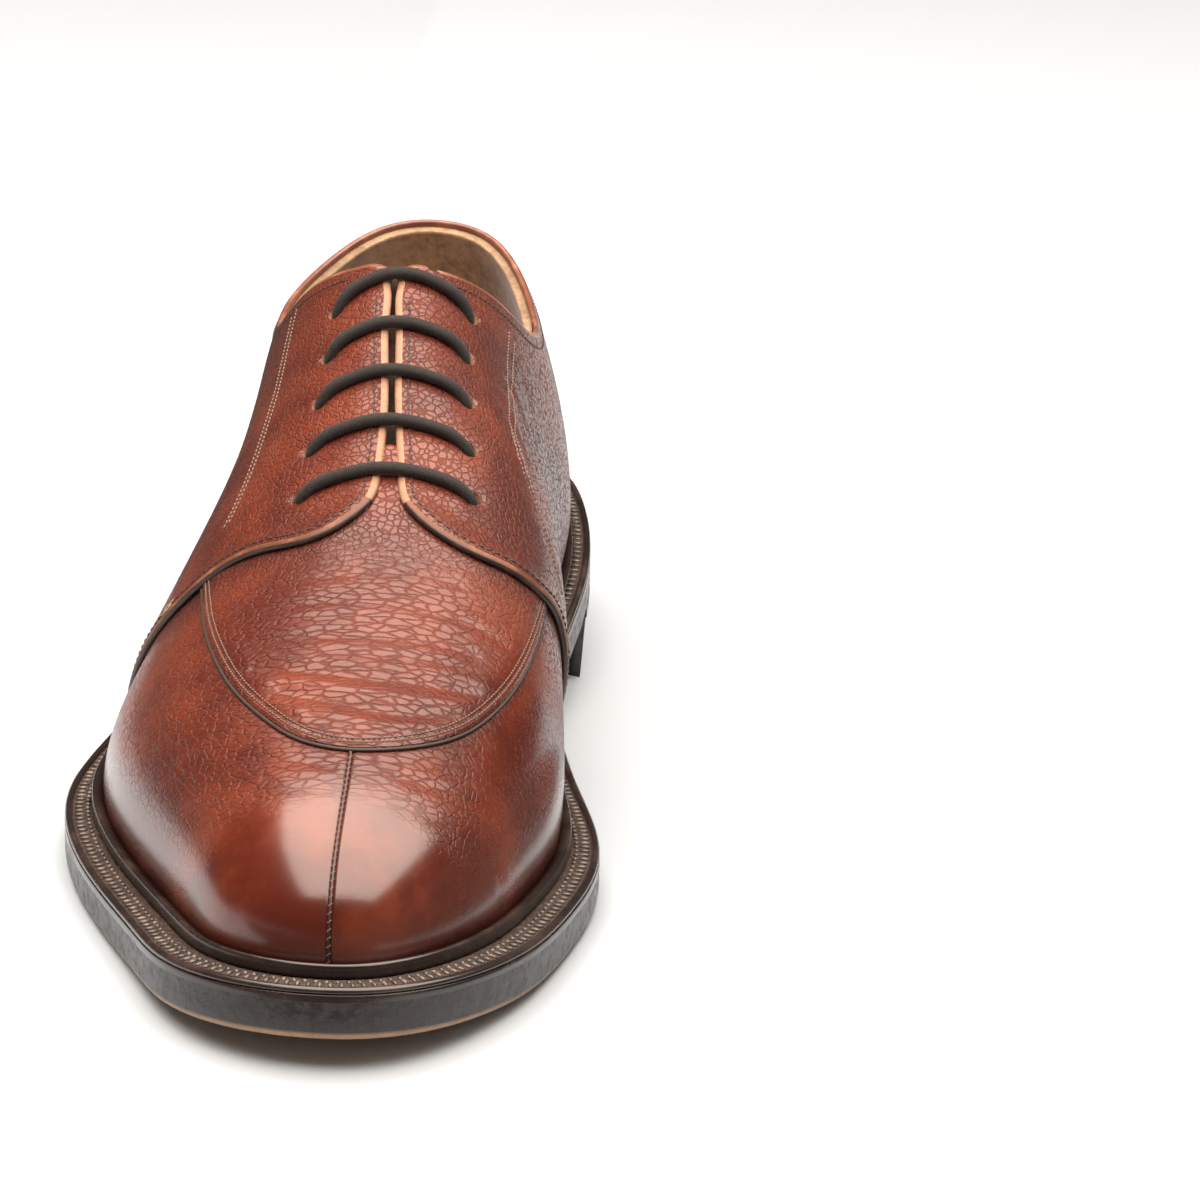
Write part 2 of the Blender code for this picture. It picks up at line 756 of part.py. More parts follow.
def make_laces():
    """One bar of lace over each pair of eyelets, both ends turned down into their holes."""
    for number, pair in enumerate(eyelet_places(), start=1):
        points = lace_route(EYELETS[number - 1], pair)
        add_cord("lace_bar_%d" % number, points, LACE, LACE_COTTON)


def lace_route(eyelet, pair):
    """Up out of one eyelet, round its rim, over the facings and down into the other."""
    lateral_station, lateral, medial_station, medial = eyelet
    bend = EYELET_HOLE / 2.0
    (left, left_across, left_out), (right, right_across, right_out) = pair
    start = [left - left_out * LACE_HIDDEN] + lace_turn(left, left_across, left_out, bend)
    finish = lace_turn(right, -right_across, right_out, bend)[::-1] + [right - right_out * LACE_HIDDEN]
    middle = []
    for share in np.linspace(0.0, 1.0, 9)[1:-1]:
        across = (bend - lateral) * (1.0 - share) + (medial - bend) * share
        station = lateral_station * (1.0 - share) + medial_station * share
        point, _, outward = crown_frame(station, across)
        middle.append(point + outward * (QUARTER_RAISE + LACE_RISE))
    return start + middle + finish


def lace_turn(point, inward, outward, bend):
    """Quarter turn of a lace from an eyelet's middle over its rim."""
    angles = np.radians((0.0, 30.0, 60.0, 90.0))
    return [point + inward * bend * (1.0 - math.cos(angle))
            + outward * (QUARTER_RAISE + LACE_RISE * math.sin(angle)) for angle in angles]


def add_cord(name, points, diameter, surface):
    curve = bpy.data.curves.new(name, "CURVE")
    curve.dimensions = "3D"
    spline = curve.splines.new("POLY")
    spline.points.add(len(points) - 1)
    for place, point in zip(spline.points, to_world(points)):
        place.co = (*point, 1.0)
    curve.bevel_depth = diameter / 2.0 * MM
    curve.bevel_resolution = 2
    curve.use_fill_caps = True
    curve.materials.append(surface)
    PARTS.objects.link(bpy.data.objects.new(name, curve))


make_sole()
make_heel()
make_welt()
make_insole()
make_upper()
make_tongue()
make_laces()
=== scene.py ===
"""Right shoe of a split toe derby in grained chestnut leather, standing empty on its own sole.

The last is given as a pattern cutter measures it: millimetres sideways from the heel's middle,
millimetres forward from the heel's back (the station) and millimetres up from the floor.
"""
import math

import bmesh
import bpy
import numpy as np
from mathutils import Matrix, Vector, kdtree


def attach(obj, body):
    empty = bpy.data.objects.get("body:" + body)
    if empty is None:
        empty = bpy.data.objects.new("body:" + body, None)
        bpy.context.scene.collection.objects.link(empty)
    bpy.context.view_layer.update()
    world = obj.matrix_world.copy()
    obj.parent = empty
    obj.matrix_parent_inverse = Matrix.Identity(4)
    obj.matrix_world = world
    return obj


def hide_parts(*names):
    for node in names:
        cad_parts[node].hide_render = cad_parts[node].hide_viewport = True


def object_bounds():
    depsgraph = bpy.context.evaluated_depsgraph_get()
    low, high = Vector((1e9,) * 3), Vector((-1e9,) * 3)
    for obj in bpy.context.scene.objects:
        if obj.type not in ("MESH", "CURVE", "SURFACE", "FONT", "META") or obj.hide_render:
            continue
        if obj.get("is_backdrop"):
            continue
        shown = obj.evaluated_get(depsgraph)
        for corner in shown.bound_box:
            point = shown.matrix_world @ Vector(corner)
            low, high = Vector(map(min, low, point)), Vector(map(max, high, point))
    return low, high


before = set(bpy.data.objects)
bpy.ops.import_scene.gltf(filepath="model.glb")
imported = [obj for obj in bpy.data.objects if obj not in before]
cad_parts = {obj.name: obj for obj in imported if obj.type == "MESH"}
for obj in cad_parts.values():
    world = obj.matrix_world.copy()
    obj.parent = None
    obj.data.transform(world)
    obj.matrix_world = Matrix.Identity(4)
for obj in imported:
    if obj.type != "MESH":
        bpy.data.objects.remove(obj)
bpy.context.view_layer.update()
scene = bpy.context.scene

# Camera
# Far in front of the toe and a little above it, looking down on the vamp, and rolled
# clockwise by a degree and a half as the photograph was.
camera_turn, camera_drop, camera_roll = 0.0464, 0.3496, 0.0279
ahead = Vector((-math.sin(camera_turn) * math.cos(camera_drop),
                math.cos(camera_turn) * math.cos(camera_drop), -math.sin(camera_drop)))
level = Vector((math.cos(camera_turn), math.sin(camera_turn), 0.0))
above = level.cross(ahead)
camera_right = level * math.cos(camera_roll) + above * math.sin(camera_roll)
camera_up = above * math.cos(camera_roll) - level * math.sin(camera_roll)
camera = bpy.data.objects.new("camera", bpy.data.cameras.new("camera"))
scene.collection.objects.link(camera)
camera.matrix_world = Matrix((camera_right, camera_up, -ahead)).transposed().to_4x4()
camera.location = (0.10189, -1.00583, 0.41379)
camera.data.sensor_width = 36.0
camera.data.lens = 142.27
camera.data.clip_start = 0.05
camera.data.clip_end = 60.0
scene.camera = camera

# Studio
# A pale seamless floor. One wide soft box overhead shows in the polish; a second one, further to the
# left, and a weak tall one light the leather without showing in it.
def new_material(name, colour, roughness):
    """Material with its shader, ready for more nodes."""
    surface = bpy.data.materials.new(name)
    surface.use_nodes = True
    shader = surface.node_tree.nodes["Principled BSDF"]
    shader.inputs["Base Color"].default_value = (*colour, 1.0)
    shader.inputs["Roughness"].default_value = roughness
    return surface, surface.node_tree, shader


def stage_card(name, corner, across, up, surface, cuts=1):
    """Flat rectangle of the studio, laid from a corner along its two sides."""
    bm = bmesh.new()
    bmesh.ops.create_grid(bm, x_segments=cuts, y_segments=cuts, size=0.5)
    corner, across, up = Vector(corner), Vector(across), Vector(up)
    for vert in bm.verts:
        vert.co = corner + across * (vert.co.x + 0.5) + up * (vert.co.y + 0.5)
    mesh = bpy.data.meshes.new(name)
    bm.to_mesh(mesh)
    bm.free()
    mesh.materials.append(surface)
    card = bpy.data.objects.new(name, mesh)
    scene.collection.objects.link(card)
    card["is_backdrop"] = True
    return card


floor_paint, _, _ = new_material("floor_paint", (0.44, 0.44, 0.44), 0.9)
stage_card("studio_floor", (-4.0, -4.0, 0.0), (8.0, 0.0, 0.0), (0.0, 8.0, 0.0), floor_paint, 8)


def soft_box(name, place, target, wide, tall, watts, mirrored):
    """Rectangular area light that faces a point; polish shows it, or it only lights, not both."""
    light = bpy.data.lights.new(name, "AREA")
    light.shape = "RECTANGLE"
    light.size = wide
    light.size_y = tall
    light.energy = watts
    light.color = (1.0, 0.90, 0.79) if mirrored else (1.0, 0.99, 0.97)
    lamp = bpy.data.objects.new(name, light)
    scene.collection.objects.link(lamp)
    lamp.location = place
    lamp.visible_glossy = mirrored
    lamp.visible_diffuse = not mirrored
    lamp.rotation_mode = "QUATERNION"
    lamp.rotation_quaternion = (Vector(target) - Vector(place)).to_track_quat("-Z", "Y")


soft_box("polish_box", (0.62, -0.23, 1.25), (0.62, -0.24, 0.05), 2.75, 1.94, 108.0, True)
soft_box("overhead_box", (-0.10, -0.05, 1.25), (-0.10, -0.06, 0.05), 1.70, 1.58, 62.0, False)
soft_box("left_box", (-1.35, 0.55, 0.95), (0.0, 0.0, 0.05), 0.35, 0.9, 2.0, False)

# the studio's far walls light the shoe softly, but are too dark to show in its polish
world = bpy.data.worlds.new("studio")
world.use_nodes = True
room = world.node_tree
walls = room.nodes["Background"]
walls.inputs["Color"].default_value = (1.0, 1.0, 1.0, 1.0)
walls.inputs["Strength"].default_value = 0.37
mirrored_walls = room.nodes.new("ShaderNodeBackground")
mirrored_walls.inputs["Color"].default_value = (1.0, 0.98, 0.96, 1.0)
mirrored_walls.inputs["Strength"].default_value = 0.05
ray = room.nodes.new("ShaderNodeLightPath")
either = room.nodes.new("ShaderNodeMixShader")
room.links.new(ray.outputs["Is Glossy Ray"], either.inputs[0])
room.links.new(walls.outputs[0], either.inputs[1])
room.links.new(mirrored_walls.outputs[0], either.inputs[2])
room.links.new(either.outputs[0], room.nodes["World Output"].inputs["Surface"])
scene.world = world
scene.view_settings.view_transform = "Standard"
scene.view_settings.look = "None"

# dark cards that only the polish sees keep the floor's white out of the low front, side and back
flag_cloth, _, _ = new_material("flag_cloth", (0.03, 0.025, 0.022), 1.0)
for name, corner, across, up in (
        ("flag_medial", (0.085, -0.30, 0.0005), (0.0, 0.34, 0.0), (0.25, 0.0, 0.10)),
        ("flag_behind", (-0.50, 0.16, 0.0008), (0.45, 0.0, 0.0), (0.0, 1.2, 0.0)),
        ("flag_lateral", (-0.30, -0.17, 0.0009), (-2.5, 0.0, 0.0), (0.0, 2.0, 0.0)),
        ("flag_front", (-0.35, -0.175, 0.0008), (0.75, 0.0, 0.0), (0.0, -1.4, 0.0))):
    flag = stage_card(name, corner, across, up, flag_cloth)
    flag.visible_camera = False
    flag.visible_diffuse = False
    flag.visible_shadow = False

# Outsole and midsole
# Two plates of sole leather glued together, trimmed round the last with a wide margin, dyed dark
# brown and burnished on the edge; the lowest millimetre and the walking side keep their own tan.
MM = 0.001
LAST_LENGTH = 290.0
TOE_SWING = 5.3             # the toe's tip lies this far to the medial side of the heel's middle
MIDDLE_X = -4.1728          # the sole's outline is centred on the origin from here
MIDDLE_STATION = 146.55
OUTSOLE_TOP = 4.7
SEAT_GAP = 0.15             # half the gap between the solids of sole, midsole and welt
WELT_BOTTOM = 8.5
FEATHER_TOP = 11.5          # where the last's bottom edge stands over the outsole's underside
HEEL_SEAT = 22.5
TOE_SPRING = 7.0
BALL_FRONT, BALL_BACK = 222.0, 176.0
SOLE_FRONT, SEAT_FRONT = 299.0, 25.0

# Bottom edge of the last: station, lateral and medial breadth
FEATHER = (
    (0.0, 0.0, 0.0),
    (5.0, 14.5, 16.5),
    (20.0, 26.0, 27.5),
    (45.0, 34.5, 34.5),
    (80.0, 36.0, 37.5),
    (115.0, 41.0, 34.5),
    (150.0, 51.5, 37.5),
    (182.0, 56.0, 43.0),
    (210.0, 50.5, 46.0),
    (235.0, 40.0, 42.0),
    (257.0, 29.5, 35.5),
    (275.0, 20.5, 26.0),
    (LAST_LENGTH, -TOE_SWING, TOE_SWING),
)

# How far the sole stands out past the upper: station, margin
MARGIN = (
    (0.0, 8.4),
    (50.0, 7.8),
    (100.0, 6.2),
    (150.0, 6.2),
    (200.0, 9.0),
    (250.0, 10.5),
    (LAST_LENGTH, 11.5),
)


def column(table, index):
    return [row[index] for row in table]


def smooth_curve(xs, ys):
    """Natural cubic through the points, held flat past both ends."""
    xs, ys = np.asarray(xs, float), np.asarray(ys, float)
    count = len(xs)
    step = np.diff(xs)
    matrix, right = np.zeros((count, count)), np.zeros(count)
    matrix[0, 0] = matrix[-1, -1] = 1.0
    for i in range(1, count - 1):
        matrix[i, i - 1:i + 2] = step[i - 1], 2.0 * (step[i - 1] + step[i]), step[i]
        right[i] = 6.0 * ((ys[i + 1] - ys[i]) / step[i] - (ys[i] - ys[i - 1]) / step[i - 1])
    bend = np.linalg.solve(matrix, right)

    def curve(x):
        x = np.clip(np.asarray(x, float), xs[0], xs[-1])
        i = np.clip(np.searchsorted(xs, x) - 1, 0, count - 2)
        after, before = (xs[i + 1] - x) / step[i], (x - xs[i]) / step[i]
        cubic = (after ** 3 - after) * bend[i] + (before ** 3 - before) * bend[i + 1]
        return after * ys[i] + before * ys[i + 1] + cubic * step[i] ** 2 / 6.0

    return curve


def turn_of(station):
    """Angle that runs from 0 at the heel's back to pi at the toe, so that both ends come out round."""
    return np.arccos(np.clip(1.0 - 2.0 * np.asarray(station, float) / LAST_LENGTH, -1.0, 1.0))


lateral_breadth = smooth_curve(turn_of(column(FEATHER, 0)), column(FEATHER, 1))
medial_breadth = smooth_curve(turn_of(column(FEATHER, 0)), column(FEATHER, 2))
margin_at = smooth_curve(column(MARGIN, 0), column(MARGIN, 1))


def sole_underside(station):
    """Height of the outsole's underside: heel seat, waist, flat ball and toe spring."""
    station = np.asarray(station, float)
    toe = TOE_SPRING * np.clip((station - BALL_FRONT) / (SOLE_FRONT - BALL_FRONT), 0.0, None) ** 2
    climb = np.clip((BALL_BACK - station) / (BALL_BACK - SEAT_FRONT), 0.0, 1.0)
    return toe + HEEL_SEAT * climb ** 2 * (3.0 - 2.0 * climb)


def unit(vectors):
    return vectors / np.maximum(np.linalg.norm(vectors, axis=-1, keepdims=True), 1e-12)


def last_edge(around):
    """Plan point of the last's bottom edge; around is 0 at the heel's back, pi at the toe after the
    lateral side, and 2 pi back at the heel after the medial side."""
    around = np.mod(around, 2.0 * math.pi)
    medial = around > math.pi
    turn = np.where(medial, 2.0 * math.pi - around, around)
    breadth = np.where(medial, medial_breadth(turn), -lateral_breadth(turn))
    return np.stack([breadth, LAST_LENGTH * (1.0 - np.cos(turn)) / 2.0], -1)


def edge_normal(around):
    """Unit vector in plan that points out of the last's bottom edge."""
    along = unit(last_edge(around + 1e-3) - last_edge(around - 1e-3))
    return np.stack([-along[..., 1], along[..., 0]], -1)


def to_world(points):
    points = np.asarray(points, float)
    return np.stack([points[..., 0] - MIDDLE_X, MIDDLE_STATION - points[..., 1], points[..., 2]], -1) * MM


def lay_sheet(points, slots=None):
    """Bend a flat grid to an array of points (columns, rows, 3); slots is a material number per row,
    or per column and row."""
    columns, rows = points.shape[0] - 1, points.shape[1] - 1
    bm = bmesh.new()
    bm.loops.layers.uv.new("UVMap")
    bmesh.ops.create_grid(bm, x_segments=columns, y_segments=rows, size=0.5, calc_uvs=True)
    places = to_world(points)
    for vert in bm.verts:
        across = round((vert.co.x + 0.5) * columns)
        up = round((vert.co.y + 0.5) * rows)
        vert.co = places[across, up]
    if slots is not None:
        slots = np.broadcast_to(slots, (columns, rows))
        for face in bm.faces:
            face.material_index = int(slots[face.index % columns, face.index // columns])
    return bm


def finish_piece(name, bm, materials, stands_for=(), merge=0.004):
    """Weld a bent sheet, turn its faces out, and give it its leather and its place in the frame."""
    bmesh.ops.remove_doubles(bm, verts=bm.verts, dist=merge * MM)
    bmesh.ops.dissolve_degenerate(bm, edges=bm.edges, dist=1e-7)
    bmesh.ops.recalc_face_normals(bm, faces=bm.faces)
    mesh = bpy.data.meshes.new(name)
    bm.to_mesh(mesh)
    bm.free()
    mesh.shade_smooth()
    piece = bpy.data.objects.new(name, mesh)
    scene.collection.objects.link(piece)
    for surface in materials:
        mesh.materials.append(surface)
    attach(piece, "root")
    if stands_for:
        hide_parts(*stands_for)
    return piece


def paint(piece, name, values):
    """Store one number per point of a piece, for its material to read."""
    layer = piece.data.attributes.new(name, "FLOAT", "POINT")
    layer.data.foreach_set("value", np.asarray(values, np.float32).ravel())


def points_of(piece):
    """A piece's points, back on the last in millimetres."""
    flat = np.zeros(len(piece.data.vertices) * 3)
    piece.data.vertices.foreach_get("co", flat)
    world_points = flat.reshape(-1, 3) / MM
    x, y, z = world_points.T
    return np.stack([x + MIDDLE_X, MIDDLE_STATION - y, z], -1)


def add_node(tree, kind, **settings):
    node = tree.nodes.new(kind)
    for key, value in settings.items():
        setattr(node, key, value)
    return node


def new_group(name, inputs, outputs):
    """Empty shader group with named sockets: name, socket type, default value."""
    group = bpy.data.node_groups.new(name, "ShaderNodeTree")
    for label, kind, value in inputs:
        socket = group.interface.new_socket(label, in_out="INPUT", socket_type=kind)
        if value is not None:
            socket.default_value = value
    for label, kind in outputs:
        group.interface.new_socket(label, in_out="OUTPUT", socket_type=kind)
    return group, group.nodes.new("NodeGroupInput"), group.nodes.new("NodeGroupOutput")


def math_node(tree, operation, first, second=None, third=None):
    node = add_node(tree, "ShaderNodeMath", operation=operation)
    for socket, value in zip(node.inputs, (first, second, third)):
        if value is None:
            continue
        if isinstance(value, (int, float)):
            socket.default_value = value
        else:
            tree.links.new(value, socket)
    return node.outputs[0]


def mix_colour(tree, share, first, second):
    node = add_node(tree, "ShaderNodeMix", data_type="RGBA")
    for socket, value in zip((node.inputs[0], node.inputs[6], node.inputs[7]), (share, first, second)):
        if isinstance(value, (int, float)):
            socket.default_value = value
        elif isinstance(value, tuple):
            socket.default_value = (*value, 1.0)
        else:
            tree.links.new(value, socket)
    return node.outputs[2]


def ramp_between(tree, value, low, high, to_low=0.0, to_high=1.0):
    node = add_node(tree, "ShaderNodeMapRange", interpolation_type="SMOOTHSTEP")
    tree.links.new(value, node.inputs["Value"])
    for label, number in (("From Min", low), ("From Max", high), ("To Min", to_low), ("To Max", to_high)):
        node.inputs[label].default_value = number
    return node.outputs["Result"]


def noise(tree, vector, scale, detail=2.0, roughness=0.5):
    """Cloudy pattern; scale is a number or the socket that gives it."""
    node = add_node(tree, "ShaderNodeTexNoise")
    node.inputs["Detail"].default_value = detail
    node.inputs["Roughness"].default_value = roughness
    if isinstance(scale, float):
        node.inputs["Scale"].default_value = scale
    else:
        tree.links.new(scale, node.inputs["Scale"])
    tree.links.new(vector, node.inputs["Vector"])
    return node


# fine wear that every dyed edge shows: soft blotches and fine specks
rubbed, group_in, group_out = new_group(
    "rubbed_dye",
    (("Vector", "NodeSocketVector", None), ("Light", "NodeSocketColor", None),
     ("Dark", "NodeSocketColor", None), ("Patch size", "NodeSocketFloat", 60.0)),
    (("Color", "NodeSocketColor"), ("Wear", "NodeSocketFloat"), ("Height", "NodeSocketFloat")))
patches = noise(rubbed, group_in.outputs["Vector"], group_in.outputs["Patch size"], 6.0, 0.65)
specks = noise(rubbed, group_in.outputs["Vector"], 2600.0, 3.0)
wear = ramp_between(rubbed, patches.outputs["Fac"], 0.42, 0.72)
worn = math_node(rubbed, "MULTIPLY_ADD", specks.outputs["Fac"], 0.35, wear)
rubbed.links.new(mix_colour(rubbed, wear, group_in.outputs["Dark"], group_in.outputs["Light"]),
                 group_out.inputs["Color"])
rubbed.links.new(wear, group_out.inputs["Wear"])
rubbed.links.new(worn, group_out.inputs["Height"])


def object_vector(tree, stretch=(1.0, 1.0, 1.0)):
    """Object coordinates in metres, stretched along each axis."""
    coordinates = add_node(tree, "ShaderNodeTexCoord")
    mapping = add_node(tree, "ShaderNodeMapping")
    mapping.inputs["Scale"].default_value = stretch
    tree.links.new(coordinates.outputs["Object"], mapping.inputs["Vector"])
    return mapping.outputs["Vector"]


def attribute(tree, name):
    node = add_node(tree, "ShaderNodeAttribute", attribute_name=name)
    return node.outputs["Fac"]


def bump(tree, shader, height, distance):
    """Low relief, a distance in millimetres high."""
    node = add_node(tree, "ShaderNodeBump")
    node.inputs["Distance"].default_value = distance * MM
    tree.links.new(height, node.inputs["Height"])
    tree.links.new(node.outputs["Normal"], shader.inputs["Normal"])


def dyed_leather(name, light, dark, roughness, patch_size=60.0, depth=0.05, natural=None,
                 coat=0.35, gloss=0.5):
    """Burnished dark leather; natural is the tan that shows where the piece is marked bare."""
    surface, tree, shader = new_material(name, dark, roughness)
    effect = add_node(tree, "ShaderNodeGroup", node_tree=rubbed)
    tree.links.new(object_vector(tree), effect.inputs["Vector"])
    effect.inputs["Light"].default_value = (*light, 1.0)
    effect.inputs["Dark"].default_value = (*dark, 1.0)
    effect.inputs["Patch size"].default_value = patch_size
    colour = effect.outputs["Color"]
    if natural is not None:
        colour = mix_colour(tree, attribute(tree, "bare"), colour, natural)
    tree.links.new(colour, shader.inputs["Base Color"])
    rough = ramp_between(tree, effect.outputs["Wear"], 0.0, 1.0, roughness, roughness + 0.18)
    tree.links.new(rough, shader.inputs["Roughness"])
    bump(tree, shader, effect.outputs["Height"], depth)
    shader.inputs["Coat Weight"].default_value = coat
    shader.inputs["Specular IOR Level"].default_value = gloss
    shader.inputs["Coat Roughness"].default_value = 0.25
    return surface


sole_edge_leather = dyed_leather("sole_edge", (0.040, 0.025, 0.020), (0.012, 0.008, 0.007), 0.34,
                                 patch_size=420.0, depth=0.20, natural=(0.50, 0.29, 0.16), coat=0.2)
AROUND = np.linspace(0.0, 2.0 * math.pi, 401)
EDGE = last_edge(AROUND)
EDGE_OUT = edge_normal(AROUND)
SOLE_LINE = EDGE + EDGE_OUT * margin_at(EDGE[:, 1])[:, None]
SPINE_X = (medial_breadth(turn_of(EDGE[:, 1])) - lateral_breadth(turn_of(EDGE[:, 1]))) / 2.0


def ring_row(plan, height):
    """One row round the sole at a height over the outsole's underside."""
    return np.column_stack([plan, sole_underside(plan[:, 1]) + height])


def plate_rows(outline, edge_profile):
    """Rows of a solid plate: out over its underside, round its edge, and back over its top."""
    inner = np.column_stack([SPINE_X, EDGE[:, 1]])
    first_out, bottom = edge_profile[0]
    last_out, top = edge_profile[-1]
    rows = []
    for share in (0.0, 0.35, 0.7, 0.92):
        rows.append(ring_row(inner + (outline + EDGE_OUT * first_out - inner) * share, bottom))
    for out, height in edge_profile:
        rows.append(ring_row(outline + EDGE_OUT * out, height))
    for share in (0.92, 0.7, 0.35, 0.0):
        rows.append(ring_row(inner + (outline + EDGE_OUT * last_out - inner) * share, top))
    return np.stack(rows, axis=1)


# edges of both plates: how far out past the trimmed line, height
OUTSOLE_EDGE = ((-2.4, 0.0), (-1.5, 0.12), (-0.9, 0.45), (-0.5, 1.0), (-0.2, 1.9), (-0.04, 3.0), (0.0, 4.5),
                (0.0, OUTSOLE_TOP - 0.03), (0.0, OUTSOLE_TOP - 0.005), (-0.2, OUTSOLE_TOP))
MIDSOLE_EDGE = ((-0.2, OUTSOLE_TOP), (0.0, OUTSOLE_TOP + 0.005), (0.0, OUTSOLE_TOP + 0.03), (0.0, 5.2),
                (0.0, 6.6), (0.0, 8.2), (0.0, 8.32), (0.0, 8.345), (-0.2, WELT_BOTTOM - SEAT_GAP))
outsole = finish_piece("outsole_plate", lay_sheet(plate_rows(SOLE_LINE, OUTSOLE_EDGE)),
                       [sole_edge_leather], ("outsole",))
place = points_of(outsole)
lift_over = place[:, 2] - sole_underside(place[:, 1])
bare_height = 0.9 + 0.6 * np.clip((place[:, 1] - 225.0) / 60.0, 0.0, 1.0)
paint(outsole, "bare", np.clip((bare_height - lift_over) / 0.4, 0.0, 1.0) * 0.75)

midsole = finish_piece("midsole_plate", lay_sheet(plate_rows(SOLE_LINE, MIDSOLE_EDGE)),
                       [sole_edge_leather], ("midsole",))
paint(midsole, "bare", np.zeros(len(midsole.data.vertices)))

# Heel
# Three lifts of leather board and a rubber top piece, nailed up, rasped flush and inked black-brown,
# so that only fine lines part the lifts.
HEEL_BREAST = 76.0          # station of the heel's front face
FLOOR_MARGIN = 5.6          # how far the heel stands out past the last's edge at the floor
BREAST_RADIUS = 130.0


def heel_outline(height):
    """Plan of the heel at a height: round the back, and a shallow arc across the breast."""
    share = height / HEEL_SEAT
    end = float(turn_of(HEEL_BREAST - 2.0 * (1.0 - share)))
    around = np.linspace(-end, end, 121)[::-1]
    plan = last_edge(around)
    seat = plan + edge_normal(around) * margin_at(plan[:, 1])[:, None]
    ground = plan + edge_normal(around) * FLOOR_MARGIN
    back = ground + (seat - ground) * share
    first, last = back[-1], back[0]
    breast_x = np.linspace(first[0], last[0], 31)[1:-1]
    reach = np.sqrt(BREAST_RADIUS ** 2 - (breast_x - MIDDLE_X) ** 2)
    end_reach = math.sqrt(BREAST_RADIUS ** 2 - (first[0] - MIDDLE_X) ** 2)
    breast = np.column_stack([breast_x, first[1] - (reach - end_reach)])
    return np.vstack([back, breast, back[:1]])


def heel_layer(name, low, high, surface, stands_for, follow_seat=False):
    """One layer of the heel with softly broken edges."""
    rows = []
    middle = np.array([MIDDLE_X + 4.0, 40.0])
    lip = 0.12
    profile = [(0.0, low), (0.6, low), (1.0, low), (1.0, low + lip), (1.0, (low + high) / 2.0),
               (1.0, high - lip), (1.0, high), (0.6, high), (0.0, high)]
    for k, (share, height) in enumerate(profile):
        outline = heel_outline(min(height, HEEL_SEAT))
        if k in (2, 6):
            outline = outline + (middle - outline) * 0.002
        plan = middle + (outline - middle) * share
        z = np.full(len(plan), height)
        if follow_seat and height > high - lip - 0.01:
            z = sole_underside(plan[:, 1]) - (high - height) - 0.08
        rows.append(np.column_stack([plan, z]))
    return finish_piece(name, lay_sheet(np.stack(rows, axis=1)), [surface], stands_for)


heel_board = dyed_leather("heel_board", (0.045, 0.030, 0.025), (0.016, 0.011, 0.010), 0.3)
top_rubber = dyed_leather("top_rubber", (0.020, 0.018, 0.017), (0.010, 0.009, 0.009), 0.55, depth=0.03)
heel_layer("heel_top_piece", 0.0, 6.0, top_rubber, ("top_piece",))
for name, low, high, solid in (("heel_lift_low", 6.03, 11.5, "heel_lift_1"),
                               ("heel_lift_middle", 11.53, 16.0, "heel_lift_2"),
                               ("heel_lift_wedge", 16.03, HEEL_SEAT, "heel_lift_3")):
    heel_layer(name, low, high, heel_board, (solid,), high == HEEL_SEAT)

# Storm welt
# A strip of welting leather stitched to the midsole all round. Its inner edge is a bead that stands
# up against the upper; outside that lies a stitched and wheeled channel and a smooth trimmed edge.
STRIP_IN, STRIP_OUT = 2.8, -2.0     # the channel, out from the upper and in from the trimmed edge
STRIP_TOP = FEATHER_TOP - 0.25

welt_strip_leather = dyed_leather("welt_strip", (0.105, 0.056, 0.036), (0.022, 0.012, 0.009), 0.55,
                                  patch_size=900.0, depth=0.30, coat=0.1)
welt_bead_leather = dyed_leather("welt_bead", (0.045, 0.024, 0.017), (0.018, 0.010, 0.008), 0.22,
                                 patch_size=50.0, depth=0.02)


def welt_row(start, out, height):
    """One row round the welt; start says whether out counts from the upper or the trimmed edge."""
    plan = (EDGE if start == "upper" else SOLE_LINE) + EDGE_OUT * out
    return ring_row(plan, height)


welt_rows = [("upper", -0.4, WELT_BOTTOM - SEAT_GAP)]
for out, height in (
        (-2.0, WELT_BOTTOM - SEAT_GAP), (-0.2, WELT_BOTTOM - SEAT_GAP), (0.0, WELT_BOTTOM - 0.145),
        (0.0, WELT_BOTTOM - 0.11), (0.0, WELT_BOTTOM + 0.6), (-0.02, FEATHER_TOP - 1.65),
        (-0.12, FEATHER_TOP - 1.5), (-0.6, FEATHER_TOP - 1.42), (-0.6, FEATHER_TOP - 1.25),
        (-0.1, FEATHER_TOP - 1.15), (-0.04, FEATHER_TOP - 0.8), (-0.22, FEATHER_TOP - 0.35),
        (-0.6, FEATHER_TOP - 0.02), (-1.1, FEATHER_TOP + 0.1), (-1.6, FEATHER_TOP - 0.02),
        (-1.85, STRIP_TOP - 0.4), (STRIP_OUT, STRIP_TOP - 0.4), (STRIP_OUT - 0.35, STRIP_TOP - 0.1)):
    welt_rows.append(("edge", out, height))
rows = [welt_row(*row) for row in welt_rows]
strip_first = SOLE_LINE + EDGE_OUT * (STRIP_OUT - 0.35)
strip_last = EDGE + EDGE_OUT * STRIP_IN
for share in (0.2, 0.4, 0.6, 0.8):
    rows.append(ring_row(strip_first + (strip_last - strip_first) * share,
                         STRIP_TOP + 0.12 * math.sin(math.pi * share)))
rows += [welt_row("upper", STRIP_IN, STRIP_TOP - 0.3), welt_row("upper", -0.4, STRIP_TOP - 0.5),
         welt_row("upper", -0.4, WELT_BOTTOM)]
smooth_rows = len(welt_rows) - 3
slots = [1] * smooth_rows + [0] * (len(rows) - 1 - smooth_rows)
finish_piece("welt_strip", lay_sheet(np.stack(rows, axis=1), slots),
             [welt_strip_leather, welt_bead_leather], ("welt",))

